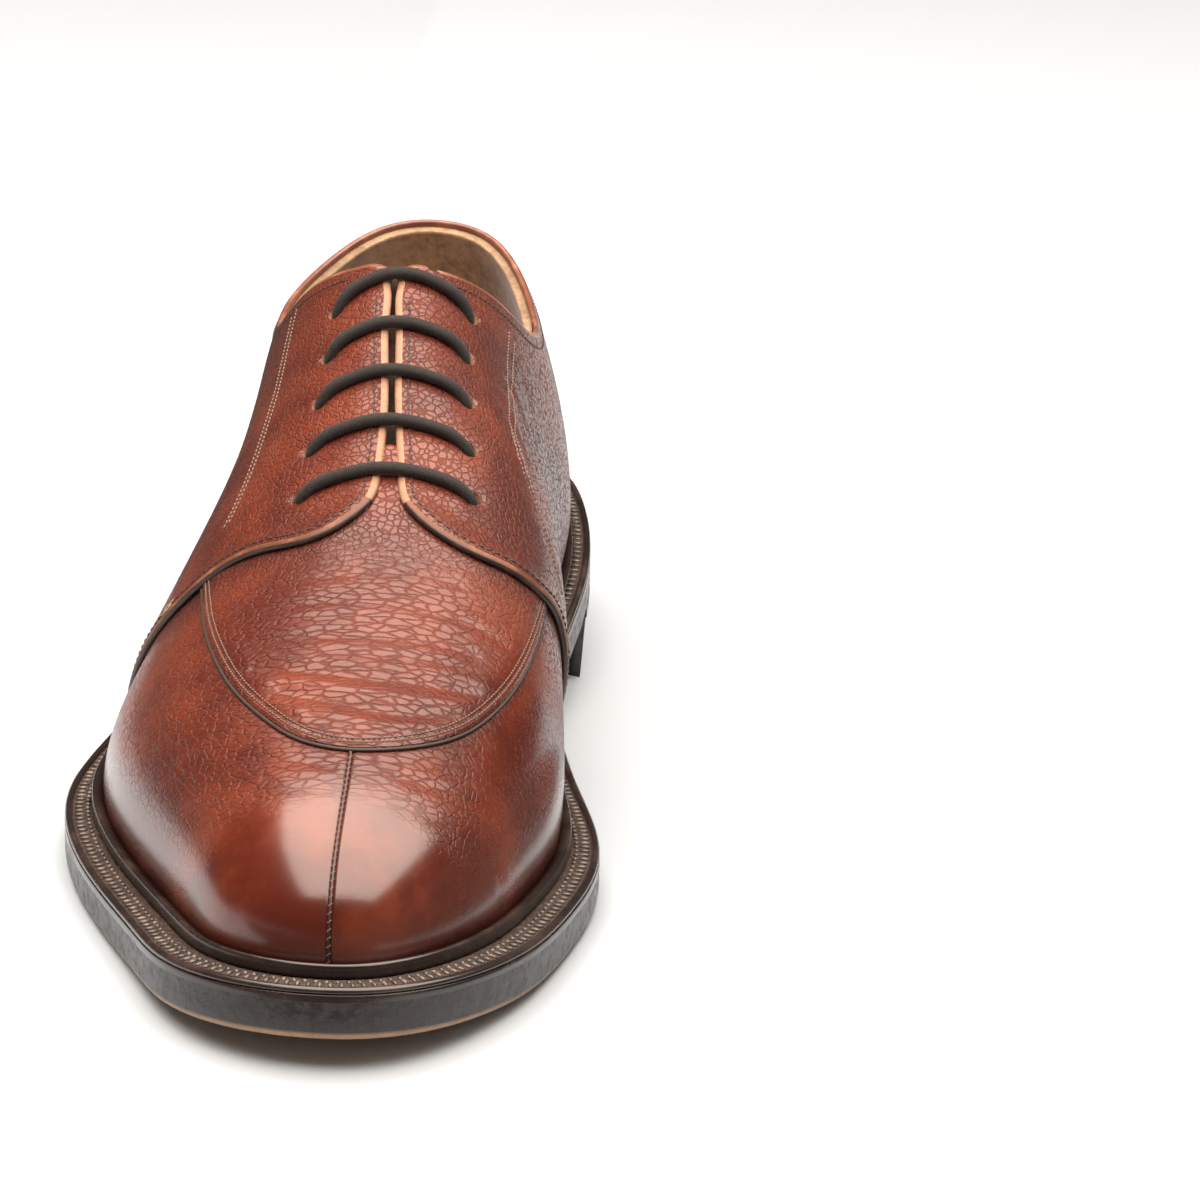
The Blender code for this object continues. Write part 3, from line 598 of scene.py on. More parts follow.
# The last
# Everything from here up is cut from sheets that lie on one last, whose bottom edge is known
# already: a crest down the middle, and a side wall that bulges out and turns in on each side.
# Crest: station, sideways place, height
RIDGE = (
    (20.0, 0.0, 123.5),
    (60.0, 0.0, 129.0),
    (95.0, 1.0, 126.0),
    (120.0, 1.2, 112.0),
    (150.0, 3.6, 96.4),
    (180.0, 5.8, 79.5),
    (210.0, 5.5, 65.5),
    (240.0, 5.6, 54.0),
    (265.0, 5.6, 45.0),
)
RIDGE_BACK, RIDGE_FRONT, RIDGE_SOFTNESS, SIDE_BLEND = 28.0, 262.0, 10.0, 4.0

# Sections: station, then lateral and medial rise, lean and crown
SIDES = (
    (0.0, 0.39, 0.39, 6.8, 6.8, 0.36, 0.36),
    (60.0, 0.44, 0.39, 7.6, 5.0, 0.42, 0.35),
    (110.0, 0.42, 0.50, 3.4, 9.5, 0.40, 0.47),
    (150.0, 0.41, 0.65, 1.0, 15.0, 0.35, 0.58),
    (185.0, 0.44, 0.68, 2.4, 9.5, 0.37, 0.59),
    (215.0, 0.56, 0.63, 4.0, 5.0, 0.49, 0.56),
    (250.0, 0.60, 0.60, 3.2, 2.8, 0.58, 0.57),
    (LAST_LENGTH, 0.60, 0.60, 2.1, 1.8, 0.60, 0.60),
)
ridge_x = smooth_curve(column(RIDGE, 0), column(RIDGE, 1))
ridge_z = smooth_curve(column(RIDGE, 0), column(RIDGE, 2))
side_curves = [smooth_curve(column(SIDES, 0), column(SIDES, i)) for i in range(1, 7)]
NUDGE = 2e-3                # step for slopes on the last


def ridge_station(station):
    """Where a section meets the crest: the same station, but fanned out around heel and toe."""
    soft = RIDGE_SOFTNESS
    front = RIDGE_FRONT - soft * np.log1p(np.exp((RIDGE_FRONT - station) / soft))
    return RIDGE_BACK + soft * np.log1p(np.exp((front - RIDGE_BACK) / soft))


def last_at(turn, girth):
    """Point of the last. Turn picks the section; girth runs over it from -1 at the lateral edge
    through 0 on the crest to 1 at the medial edge. Past heel or toe it carries on down the other side."""
    turn, girth = np.broadcast_arrays(np.asarray(turn, float), np.asarray(girth, float))
    girth = np.where((turn < 0.0) | (turn > math.pi), -girth, girth)
    turn = np.where(turn < 0.0, -turn, np.where(turn > math.pi, 2.0 * math.pi - turn, turn))
    side = np.where(girth < 0.0, -1.0, 1.0)
    station = LAST_LENGTH * (1.0 - np.cos(turn)) / 2.0
    foot_x = np.where(side < 0.0, -lateral_breadth(turn), medial_breadth(turn))
    foot_z = sole_underside(station) + FEATHER_TOP
    crest = ridge_station(station)
    crest_x, crest_z = ridge_x(crest), ridge_z(crest)
    slope = ridge_z(crest + 0.5) - ridge_z(crest - 0.5)
    reach_x, reach_t = foot_x - crest_x, station - crest
    reach = np.hypot(reach_x, reach_t)
    medial = 1.0 / (1.0 + np.exp(-reach_x / SIDE_BLEND))
    shapes = [curve(station) for curve in side_curves]
    rise, lean, crown = (shapes[i] * (1.0 - medial) + shapes[i + 1] * medial for i in (0, 2, 4))
    corners = (
        np.stack([foot_x, station, foot_z], -1),
        np.stack([foot_x + reach_x / reach * lean, station + reach_t / reach * lean,
                  foot_z + (crest_z - foot_z) * rise], -1),
        np.stack([crest_x + reach_x * crown, crest + reach_t * crown,
                  crest_z + slope * reach_t * crown], -1),
        np.stack([crest_x, crest, crest_z], -1),
    )
    h = (1.0 - np.abs(girth))[..., None]
    weights = ((1 - h) ** 3, 3 * (1 - h) ** 2 * h, 3 * (1 - h) * h ** 2, h ** 3)
    return sum(weight * corner for weight, corner in zip(weights, corners))


def last_normal(turn, girth):
    """Unit vector out of the last."""
    along = last_at(turn + NUDGE, girth) - last_at(turn - NUDGE, girth)
    across = last_at(turn, girth + NUDGE) - last_at(turn, girth - NUDGE)
    return unit(np.cross(across, along))


def skin(turn, girth, out):
    """Points that stand out of the last by a distance."""
    return last_at(turn, girth) + last_normal(turn, girth) * np.asarray(out, float)[..., None]


def settle(targets, turns, girths, axes=(0, 1, 2)):
    """Places (turn, girth) on the last nearest to the targets, where only the given axes count.
    The turns and girths bound the search."""
    axes = list(axes)
    counted = np.isin(np.arange(3), axes).astype(float)
    seeds = np.meshgrid(np.linspace(*turns, 90), np.linspace(*girths, 60))
    seed_turn, seed_girth = seeds[0].ravel(), seeds[1].ravel()
    tree = kdtree.KDTree(len(seed_turn))
    for i, point in enumerate(last_at(seed_turn, seed_girth) * counted):
        tree.insert(point, i)
    tree.balance()
    targets = np.asarray(targets, float)
    flat = targets.reshape(-1, 3)
    nearest = [tree.find(point)[1] for point in flat * counted]
    turn, girth = seed_turn[nearest], seed_girth[nearest]
    for _ in range(7):
        gap = (flat - last_at(turn, girth))[:, axes]
        along = (last_at(turn + NUDGE, girth) - last_at(turn - NUDGE, girth))[:, axes] / (2.0 * NUDGE)
        across = (last_at(turn, girth + NUDGE) - last_at(turn, girth - NUDGE))[:, axes] / (2.0 * NUDGE)
        a, b, c = (along * along).sum(1), (along * across).sum(1), (across * across).sum(1)
        p, q = (along * gap).sum(1), (across * gap).sum(1)
        whole = np.maximum(a * c - b * b, 1e-9)
        turn = turn + np.clip((c * p - b * q) / whole, -0.15, 0.15)
        girth = girth + np.clip((a * q - b * p) / whole, -0.15, 0.15)
    return turn.reshape(targets.shape[:-1]), girth.reshape(targets.shape[:-1])


def run_along(line):
    """Length of a line up to each of its points."""
    return np.concatenate([[0.0], np.cumsum(np.linalg.norm(np.diff(line, axis=0), axis=1))])


def along_line(line, share):
    """Points at shares of a line's length."""
    line = np.asarray(line, float)
    run = run_along(line)
    return np.stack([np.interp(np.asarray(share) * run[-1], run, values) for values in line.T], -1)


def even_points(points, count):
    """Resample a line at count points that lie evenly along it."""
    return along_line(points, np.linspace(0.0, 1.0, count))


def curve_through(points, count):
    """Smooth line through a few points, resampled evenly."""
    points = np.asarray(points, float)
    run = run_along(points)
    fine = np.linspace(0.0, run[-1], 12 * count)
    return even_points(np.stack([smooth_curve(run, values)(fine) for values in points.T], -1), count)


def on_top(across_and_station):
    """Points of the last under plan places given as (across from the crest, station)."""
    plan = np.array([(ridge_x(station) + across, station, 0.0) for across, station in across_and_station])
    turn, girth = settle(plan, (0.9, math.pi), (-0.8, 0.8), (0, 1))
    return last_at(turn, girth)


def on_side(station_and_height, side):
    """Points of the last seen from one side at (station, height)."""
    seen = np.array([(0.0, station, height) for station, height in station_and_height])
    girths = (-1.0, -0.02) if side < 0 else (0.02, 1.0)
    turn, girth = settle(seen, (0.02, math.pi), girths, (1, 2))
    return last_at(turn, girth)


def distance_to(points, line):
    """Distance of each point from a line given as a row of points."""
    start, step = line[:-1], np.diff(line, axis=0)
    best = np.full(len(points), 1e9)
    for first in range(0, len(points), 4000):
        some = points[first:first + 4000]
        gap = some[:, None] - start[None]
        share = np.clip((gap * step[None]).sum(-1) / np.maximum((step ** 2).sum(-1), 1e-9)[None], 0.0, 1.0)
        best[first:first + 4000] = np.linalg.norm(gap - share[..., None] * step[None], axis=-1).min(axis=1)
    return best


def ease(x, low, high):
    """Smooth step from 0 at low to 1 at high."""
    share = np.clip((x - low) / (high - low), 0.0, 1.0)
    return share * share * (3.0 - 2.0 * share)


# Welt bead
# The rounded inner edge of the welt; it hugs the upper, following how far the leather leans out.
BEAD_HEIGHT = 2.2
bead_turn = np.where(AROUND <= math.pi, AROUND, 2.0 * math.pi - AROUND)
bead_side = np.where(AROUND <= math.pi, -1.0, 1.0)
wall_height = ridge_z(ridge_station(EDGE[:, 1])) - sole_underside(EDGE[:, 1]) - FEATHER_TOP
rise_share = np.clip(BEAD_HEIGHT / np.maximum(wall_height, 1.0), 0.0, 0.2)
touch = last_at(bead_turn, bead_side * (1.0 - rise_share * 0.8))
touch_out = ((touch[:, :2] - EDGE) * EDGE_OUT).sum(-1)
bead_profile = ((-0.6, 0.0), (0.05, 1.3), (0.3, 1.95), (0.8, 2.35), (1.4, 2.65), (1.95, 2.8), (2.35, 2.65),
                (2.6, 2.2), (2.75, 1.4), (2.85, 0.5), (2.9, -0.3), (-0.6, -0.3), (-0.6, 0.0))
rows = []
for out, height in bead_profile:
    lean_out = out + touch_out * min(1.0, height / BEAD_HEIGHT)
    rows.append(ring_row(EDGE + EDGE_OUT * lean_out[:, None], FEATHER_TOP + height))
finish_piece("welt_bead", lay_sheet(np.stack(rows, axis=1)), [welt_bead_leather], ("welt",))

# Grained upper leather
# Vegetable-tanned calf with a raised pebble grain, dyed chestnut and waxed. Over the vamp the grain
# runs into short creases from side to side; at the toe and near the welt it is boned smooth.
PEBBLE_CELLS, CREASE_CELLS, GRAIN_DEPTH = 600.0, 520.0, 0.26
grain, group_in, group_out = new_group(
    "pebble_grain",
    (("Vector", "NodeSocketVector", None), ("Cells", "NodeSocketFloat", 560.0)),
    (("Height", "NodeSocketFloat"), ("Valley", "NodeSocketFloat")))
wander = noise(grain, group_in.outputs["Vector"], 430.0, 3.0)
centred = add_node(grain, "ShaderNodeVectorMath", operation="SUBTRACT")
centred.inputs[1].default_value = (0.5, 0.5, 0.5)
grain.links.new(wander.outputs["Color"], centred.inputs[0])
pushed = add_node(grain, "ShaderNodeVectorMath", operation="MULTIPLY_ADD")
pushed.inputs[1].default_value = (0.0009, 0.0009, 0.0009)
grain.links.new(centred.outputs[0], pushed.inputs[0])
grain.links.new(group_in.outputs["Vector"], pushed.inputs[2])
plateaus = []
for factor, width in ((1.0, 0.17), (2.3, 0.24)):
    cells = add_node(grain, "ShaderNodeTexVoronoi", feature="DISTANCE_TO_EDGE")
    grain.links.new(pushed.outputs[0], cells.inputs["Vector"])
    grain.links.new(math_node(grain, "MULTIPLY", group_in.outputs["Cells"], factor), cells.inputs["Scale"])
    plateaus.append(ramp_between(grain, cells.outputs["Distance"], 0.0, width))
patchy = noise(grain, group_in.outputs["Vector"], 120.0)
fine_share = ramp_between(grain, patchy.outputs["Fac"], 0.35, 0.7, 0.06, 0.22)
fine_part = math_node(grain, "MULTIPLY", plateaus[1], fine_share)
grain.links.new(math_node(grain, "MULTIPLY_ADD", plateaus[0], 0.7, fine_part), group_out.inputs["Height"])
grain.links.new(math_node(grain, "SUBTRACT", 1.0, plateaus[0]), group_out.inputs["Valley"])


def grained_leather(name):
    """Chestnut leather; its points say where it is smooth, creased, and darkened partly by burnish and
    partly by painted shade.
    """
    surface, tree, shader = new_material(name, (0.25, 0.06, 0.03), 0.32)
    across = add_node(tree, "ShaderNodeGroup", node_tree=grain)
    across.inputs["Cells"].default_value = CREASE_CELLS
    tree.links.new(object_vector(tree, (0.40, 1.15, 1.25)), across.inputs["Vector"])
    pebbles = add_node(tree, "ShaderNodeGroup", node_tree=grain)
    pebbles.inputs["Cells"].default_value = PEBBLE_CELLS
    tree.links.new(object_vector(tree), pebbles.inputs["Vector"])
    creased, smooth, burnish_and_shade_mask = (attribute(tree, name) for name in ("creased", "smooth", "burnish_and_shade"))

    def blend(label):
        node = add_node(tree, "ShaderNodeMix")
        tree.links.new(creased, node.inputs["Factor"])
        tree.links.new(pebbles.outputs[label], node.inputs["A"])
        tree.links.new(across.outputs[label], node.inputs["B"])
        return node.outputs["Result"]

    grained = math_node(tree, "SUBTRACT", 1.0, smooth)
    height = math_node(tree, "MULTIPLY", blend("Height"), grained)
    valley = math_node(tree, "MULTIPLY", blend("Valley"), grained)

    cloud = noise(tree, object_vector(tree), 38.0, 7.0, 0.62)
    tone = ramp_between(tree, cloud.outputs["Fac"], 0.36, 0.66)
    colour = mix_colour(tree, tone, (0.080, 0.0105, 0.0040), (0.160, 0.0250, 0.0070))
    colour = mix_colour(tree, math_node(tree, "MULTIPLY", valley, 0.42), colour, (0.032, 0.006, 0.003))
    # burnish and painted shade: darker where the panel's points say, near the welt, the seams and the
    # lapped edges
    colour = mix_colour(tree, math_node(tree, "MULTIPLY", burnish_and_shade_mask, 0.9), colour, (0.028, 0.008, 0.006))
    tree.links.new(colour, shader.inputs["Base Color"])

    rough = ramp_between(tree, smooth, 0.0, 1.0, 0.38, 0.22)
    rough = math_node(tree, "MULTIPLY_ADD", tone, 0.05, rough)
    rough = math_node(tree, "MULTIPLY_ADD", valley, 0.2, rough)
    tree.links.new(rough, shader.inputs["Roughness"])
    pores = noise(tree, object_vector(tree), 2200.0)
    swell = noise(tree, object_vector(tree, (0.5, 1.0, 1.0)), 170.0)
    soft = math_node(tree, "MULTIPLY", swell.outputs["Fac"], ramp_between(tree, smooth, 0.0, 1.0, 0.8, 0.2))
    relief = math_node(tree, "ADD", height, soft)
    relief = math_node(tree, "MULTIPLY_ADD", pores.outputs["Fac"], 0.035, relief)
    bump(tree, shader, relief, GRAIN_DEPTH)
    polish = math_node(tree, "MULTIPLY", math_node(tree, "SUBTRACT", 1.0, valley),
                       ramp_between(tree, smooth, 0.0, 1.0, 0.46, 0.80))
    tree.links.new(polish, shader.inputs["Coat Weight"])
    shader.inputs["Specular IOR Level"].default_value = 0.32
    shader.inputs["Coat Roughness"].default_value = 0.2
    return surface


chestnut_leather = grained_leather("chestnut_leather")
raw_edge, tree, shader = new_material("raw_edge", (0.52, 0.29, 0.16), 0.62)
fibre = noise(tree, object_vector(tree), 900.0, 5.0)
tree.links.new(mix_colour(tree, fibre.outputs["Fac"], (0.23, 0.095, 0.045), (0.43, 0.21, 0.11)),
               shader.inputs["Base Color"])
bump(tree, shader, fibre.outputs["Fac"], 0.08)
dark_edge = dyed_leather("dark_edge", (0.06, 0.024, 0.014), (0.022, 0.010, 0.007), 0.5, patch_size=200.0)


def shares(count, fine, zone):
    """Shares from 0 to 1, with finer steps in the zone before 1."""
    return np.concatenate([np.linspace(0.0, 1.0 - zone, count), np.linspace(1.0 - zone, 1.0, fine + 1)[1:]])


def span(bottom, top, left, right, u_share, v_share, turns, girths):
    """Places on the last of a patch spanned by four lines."""
    u, v = np.asarray(u_share)[:, None, None], np.asarray(v_share)[None, :, None]
    bottom, top = along_line(bottom, u_share), along_line(top, u_share)
    left, right = along_line(left, v_share), along_line(right, v_share)
    ruled = bottom[:, None] * (1.0 - v) + top[:, None] * v + left[None] * (1.0 - u) + right[None] * u
    corners = (bottom[0] * (1.0 - u) * (1.0 - v) + bottom[-1] * u * (1.0 - v)
               + top[0] * (1.0 - u) * v + top[-1] * u * v)
    return settle(ruled - corners, turns, girths)


def shell(turn, girth, out, thickness, rim, inner_rows=7, first_closed=False):
    """Closed leather panel: its face, a cut edge along its last row, and its back.
    Rim steps are (how far out past the edge, how far down from the face)."""
    face = skin(turn, girth, out)
    normal = last_normal(turn[:, -1], girth[:, -1])
    edge = face[:, -1]
    along = np.gradient(edge, axis=0)
    outward = unit(np.cross(along, normal))
    facing = np.sign((outward * (edge - face[:, -3])).sum(-1, keepdims=True))
    facing[facing == 0.0] = 1.0
    outward *= facing
    rims = [edge + outward * ahead - normal * down for ahead, down in rim]
    back_rows = np.unique(np.linspace(0, turn.shape[1] - 1, inner_rows).astype(int))[::-1]
    thickness = np.broadcast_to(thickness, turn.shape)
    back = [skin(turn[:, k], girth[:, k], out[:, k] - thickness[:, k]) for k in back_rows]
    rows = [face[:, k] for k in range(face.shape[1])] + rims + back
    if not first_closed:
        rows.append(face[:, 0])
    return np.stack(rows, axis=1), face.shape[1] - 1


def panel(name, points, materials, stands_for, slots=None):
    """Finished piece from a panel's shell, its open ends closed."""
    bm = lay_sheet(points, slots)
    bmesh.ops.remove_doubles(bm, verts=bm.verts, dist=0.004 * MM)
    rims = [edge for edge in bm.edges if edge.is_boundary]
    if rims:
        bmesh.ops.holes_fill(bm, edges=rims, sides=0)
    return finish_piece(name, bm, materials, stands_for)


# Folds that walking pressed in, on top: three points (across from the crest, station), half width, depth
APRON_FOLDS = (
    ((-23.0, 224.0), (4.0, 231.0), (29.0, 222.0), 1.9, 0.40),
    ((-17.0, 233.0), (6.0, 240.0), (26.0, 232.0), 2.2, 0.50),
    ((-9.0, 241.0), (6.0, 246.0), (18.0, 240.0), 1.3, 0.16),
    ((-27.0, 214.0), (-3.0, 219.0), (22.0, 215.0), 1.5, 0.17),
    ((-22.0, 206.0), (6.0, 209.0), (31.0, 205.0), 1.3, 0.14),
    ((-26.0, 198.0), (-6.0, 200.5), (17.0, 198.0), 1.2, 0.12),
)
VAMP_FOLDS = (
    ((-25.0, 246.0), (-15.0, 252.5), (-3.5, 256.0), 1.3, 0.17),
    ((11.0, 257.0), (21.0, 253.0), (30.0, 246.0), 1.3, 0.17),
    ((-29.0, 251.0), (-18.0, 259.0), (-3.0, 263.0), 1.6, 0.08),
    ((12.0, 264.0), (24.0, 259.0), (34.0, 250.0), 1.6, 0.08),
)


def press_folds(place, folds):
    """How far a panel sinks at each point into the folds; beside each fold it rises a little."""
    flat = place.reshape(-1, 3)
    sunk = np.zeros(len(flat))
    for first, middle, last, half_width, depth in folds:
        gap = distance_to(flat, on_top(curve_through((first, middle, last), 30)))
        sunk += depth * np.exp(-(gap / half_width) ** 2)
        sunk -= 0.45 * depth * np.exp(-((gap - 2.2 * half_width) / half_width) ** 2)
    return sunk.reshape(place.shape[:-1])


# Vamp
# Two halves of one colour, lasted over the toe and joined by the split seam that runs from the
# apron down to the welt. Each half's top edge is skived and tucked against the apron.
VAMP_BACK = 146.0
APRON_SIDE = ((146.0, -35.8, 41.2), (170.0, -35.5, 40.4), (184.0, -33.7, 40.0), (197.0, -31.4, 39.0),
              (211.0, -27.6, 36.6), (226.0, -21.4, 31.8), (239.0, -13.0, 25.0), (248.0, -4.0, 15.6))
APRON_TIP = (251.0, 5.6)
VAMP_THICK = 1.2

apron_plan = ([(row[1], row[0]) for row in APRON_SIDE] + [(APRON_TIP[1], APRON_TIP[0])]
              + [(row[2], row[0]) for row in APRON_SIDE[::-1]])
apron_plan = curve_through(apron_plan, 321)
turn, girth = settle(np.column_stack([apron_plan, np.zeros(len(apron_plan))]), (1.2, math.pi),
                     (-0.85, 0.85), (0, 1))
apron_line = last_at(turn, girth)
tip_index = int(np.argmin(np.linalg.norm(apron_plan - (APRON_TIP[1], APRON_TIP[0]), axis=1)))

toe_rise = last_at(np.full(60, math.pi), -np.linspace(1.0, 0.0, 60))
crest_run = np.arange(toe_rise[-1][1] - 1.0, apron_line[tip_index][1], -1.0)
toe_seam = np.vstack([toe_rise, np.column_stack([ridge_x(crest_run), crest_run, ridge_z(crest_run)]),
                      apron_line[tip_index:tip_index + 1]])

# Front edge of the quarters. On top: across from the crest, station. Down the sides: station, height
FRONT_TOP = {
    -1: ((-5.2, 116.0), (-3.2, 117.4), (-1.7, 118.9), (-2.1, 120.8), (-2.0, 123.5), (-2.0, 130.0),
         (-2.1, 150.0), (-2.6, 165.0), (-3.2, 173.0), (-3.6, 177.5),
         (-4.7, 180.9), (-6.9, 183.5), (-10.2, 185.8), (-14.1, 187.0), (-20.0, 186.0), (-26.1, 182.8),
         (-35.3, 178.0)),
    1: ((5.2, 116.0), (3.2, 117.4), (1.7, 118.9), (2.1, 120.8), (2.0, 123.5), (2.0, 130.0),
        (2.1, 150.0), (2.6, 165.0), (3.2, 173.0), (3.6, 177.5),
        (4.6, 180.8), (6.7, 183.3), (9.8, 185.6), (13.5, 187.2), (19.0, 187.6), (26.4, 184.8),
        (32.1, 180.9)),
}
FRONT_SIDE = ((174.0, 53.0), (169.5, 44.0), (164.0, 32.0), (158.0, 18.0), (155.0, 10.0), (153.5, 4.0))
TOPLINE = ((-30.0, 97.5), (2.0, 95.6), (30.0, 87.0), (62.0, 84.0), (88.0, 91.0), (108.0, 107.0),
           (119.0, 114.3))
topline_height = smooth_curve(column(TOPLINE, 0), column(TOPLINE, 1))


def front_edge(side):
    """Line from the facing's top down the throat, round its foot and down to the welt."""
    top = on_top(FRONT_TOP[side])
    down = on_side([row for row in FRONT_SIDE if row[1] > 11.0], side)
    foot_turn = turn_of(FRONT_SIDE[-1][0])
    return curve_through(np.vstack([top, down, last_at(foot_turn, side * 1.0)[None]]), 260)


def top_edge(side):
    """Collar line from the heel's back to just short of the facing."""
    lines = []
    heights = np.linspace(0.3, 1.0, 300)
    for turn in np.linspace(0.0, float(turn_of(114.5)), 90):
        wall = last_at(np.full(heights.shape, turn), side * (1.0 - heights))
        over = wall[:, 2] - topline_height(wall[:, 1])
        first = int(np.argmax(over > 0.0))
        share = -over[first - 1] / (over[first] - over[first - 1])
        lines.append(wall[first - 1] + (wall[first] - wall[first - 1]) * share)
    return even_points(lines, 200)


BOTH_SIDES = ((-1, "lateral"), (1, "medial"))
front_edges = {side: front_edge(side) for side in (-1, 1)}
top_edges = {side: top_edge(side) for side in (-1, 1)}


def upper_marks(piece, edges):
    """Paint where a panel is smooth, creased and darkened: partly burnish, partly painted shade along the
    welt, the seams and the lapped edges. Edges are lines that darken what lies near: line, reach, amount."""
    place = points_of(piece)
    x, station, z = place[:, 0], place[:, 1], place[:, 2]
    over_welt = z - sole_underside(station) - FEATHER_TOP
    toe = ease(station - 0.16 * np.abs(x - 5.0), 252.0, 268.0)
    medial_side = ease(x, 24.0, 36.0) * ease(station, 190.0, 215.0)
    low = ease(-over_welt, -26.0, -12.0) * ease(station, 150.0, 215.0)
    smooth = np.clip(np.maximum.reduce([toe * 0.97, medial_side * 0.8, low * 0.9]), 0.0, 1.0)
    paint(piece, "smooth", smooth)
    paint(piece, "creased", ease(station, 184.0, 206.0))
    # burnish and painted shade: much darker over the first millimetres above the welt, and faintly darker
    # for a couple of centimetres above that
    burnish_and_shade = np.clip(0.8 * np.exp(-np.maximum(over_welt - 2.0, 0.0) / 2.2), 0.0, 1.0)
    burnish_and_shade = np.maximum(burnish_and_shade, 0.2 * np.exp(-over_welt / 9.0))
    for line, reach, amount in edges:
        burnish_and_shade = np.maximum(burnish_and_shade, amount * np.exp(-distance_to(place, line) / reach))
    paint(piece, "burnish_and_shade", np.clip(burnish_and_shade, 0.0, 0.75))


def vamp_half(name, side):
    """One half of the vamp, from under the quarter to the toe seam."""
    line = apron_line[:tip_index + 1] if side < 0 else apron_line[tip_index:][::-1]
    back_turn = float(turn_of(VAMP_BACK))
    turns = np.linspace(back_turn, math.pi, 200)
    bottom = last_at(turns, np.full(200, float(side)))
    heights = np.linspace(0.0, 1.0, 200)
    wall = last_at(np.full(200, back_turn), side * (1.0 - heights))
    upto = int(np.argmin(np.linalg.norm(wall - line[0], axis=1)))
    left = np.vstack([wall[:upto], line[:1]])
    u_share, v_share = shares(150, 14, 0.03), shares(56, 10, 0.05)
    bounds = (back_turn - 0.05, math.pi + 0.5), ((-1.0, 0.05) if side < 0 else (-0.05, 1.0))
    turn, girth = span(bottom, line, left, toe_seam, u_share, v_share, *bounds)
    place = last_at(turn, girth)
    shape = place.shape[:2]
    from_seam = distance_to(place.reshape(-1, 3), toe_seam).reshape(shape)
    from_apron = distance_to(place.reshape(-1, 3), apron_line).reshape(shape)
    out = -0.5 * np.exp(-(from_seam / 0.6) ** 2) - 0.5 * np.exp(-(from_apron / 0.9) ** 2)
    out -= press_folds(place, VAMP_FOLDS)
    points, _ = shell(turn, girth, out, VAMP_THICK, ((0.1, 0.3), (0.12, 0.8)))
    piece = panel(name, points, [chestnut_leather], ("upper",))
    # painted shadow: the vamp darkens within a few millimetres of the quarters' front edges, which lie over
    # it; along the seams the darkening is burnish and painted shade
    upper_marks(piece, ((toe_seam, 1.6, 0.5), (apron_line, 1.6, 0.45),
                        (front_edges[side][120:], 5.0, 0.7)))


for side, label in BOTH_SIDES:
    vamp_half("vamp_" + label, side)

# Apron
# The raised top of the vamp, lapped over both halves with a folded edge and sewn with two close
# rows of brown thread. It runs back under the quarters' front edge to meet the tongue.
APRON_OUT = 0.95
APRON_BACK = 166.0
SPINE_FRONT = 226.0
count = len(apron_line)
back_first = int(np.argmax(apron_line[:, 1] > APRON_BACK))
edge_line = apron_line[back_first:count - back_first]
u_share = np.linspace(0.0, 1.0, 281)
fold = 1.0 - np.abs(2.0 * u_share - 1.0)
spine_station = APRON_BACK + (SPINE_FRONT - APRON_BACK) * (1.0 - (1.0 - fold) ** 1.6)
spine = np.column_stack([ridge_x(spine_station), spine_station, ridge_z(spine_station)])
v_share = shares(60, 12, 0.06)
edge_points = along_line(edge_line, u_share)
v = v_share[None, :, None]
patch = spine[:, None] * (1.0 - v) + edge_points[:, None] * v
turn, girth = settle(patch, (1.3, math.pi), (-0.95, 0.95))
place = last_at(turn, girth)
from_edge = distance_to(place.reshape(-1, 3), edge_line).reshape(place.shape[:2])


def apron_face(place, from_edge):
    """How far the apron's face stands off the last: pulled down along the sewing, and folded."""
    pulled = 0.22 * np.exp(-(from_edge - 1.7) ** 2)
    puffed = 0.16 * np.exp(-((from_edge - 5.0) / 2.2) ** 2)
    out = APRON_OUT - pulled + puffed
    out -= press_folds(place, APRON_FOLDS) * ease(from_edge, 2.0, 6.0)
    return out - 0.25 * np.exp(-(from_edge / 0.35) ** 2)


apron_out = apron_face(place, from_edge)
points, _ = shell(turn, girth, apron_out, 1.1, ((0.22, 0.1), (0.36, 0.35), (0.36, 0.85), (0.2, 1.05)),
                  first_closed=True)
apron = panel("apron", points, [chestnut_leather], ("upper",))
# painted shadow under the quarters' front edges, which lap over the apron's back; along its sewn edge the
# darkening is burnish and painted shade
upper_marks(apron, ((edge_line, 0.9, 0.35), (front_edges[-1][120:], 4.0, 0.75),
                    (front_edges[1][120:], 4.0, 0.75)))

# Quarters
# The sides and back of the shoe in one piece of the same calf, lined, lapped over the vamp and left
# with cut edges along the throat and the front. The collar's edge is rolled. Ten eyelets are
# punched through with no metal.
QUARTER_OUT = 1.6
QUARTER_LIFT = 1.1         # how far the front edge stands off the vamp
EYELET_HOLE = 4.2
# Eyelets from the vamp up: station and distance out from the crest, lateral and then medial
EYELETS = (
    (173.0, 19.2, 173.8, 17.8),
    (160.6, 17.2, 161.2, 16.6),
    (148.0, 15.4, 147.6, 16.2),
    (135.2, 13.6, 132.8, 16.0),
    (122.2, 12.4, 117.6, 16.4),
)
eyelet_turn, eyelet_girth = settle(
    np.array([[(ridge_x(t_lat) - lat, t_lat, 0.0), (ridge_x(t_med) + med, t_med, 0.0)]
              for t_lat, lat, t_med, med in EYELETS]), (0.9, math.pi), (-0.8, 0.8), (0, 1))
eyelet_place = last_at(eyelet_turn, eyelet_girth)
eyelet_out = last_normal(eyelet_turn, eyelet_girth)

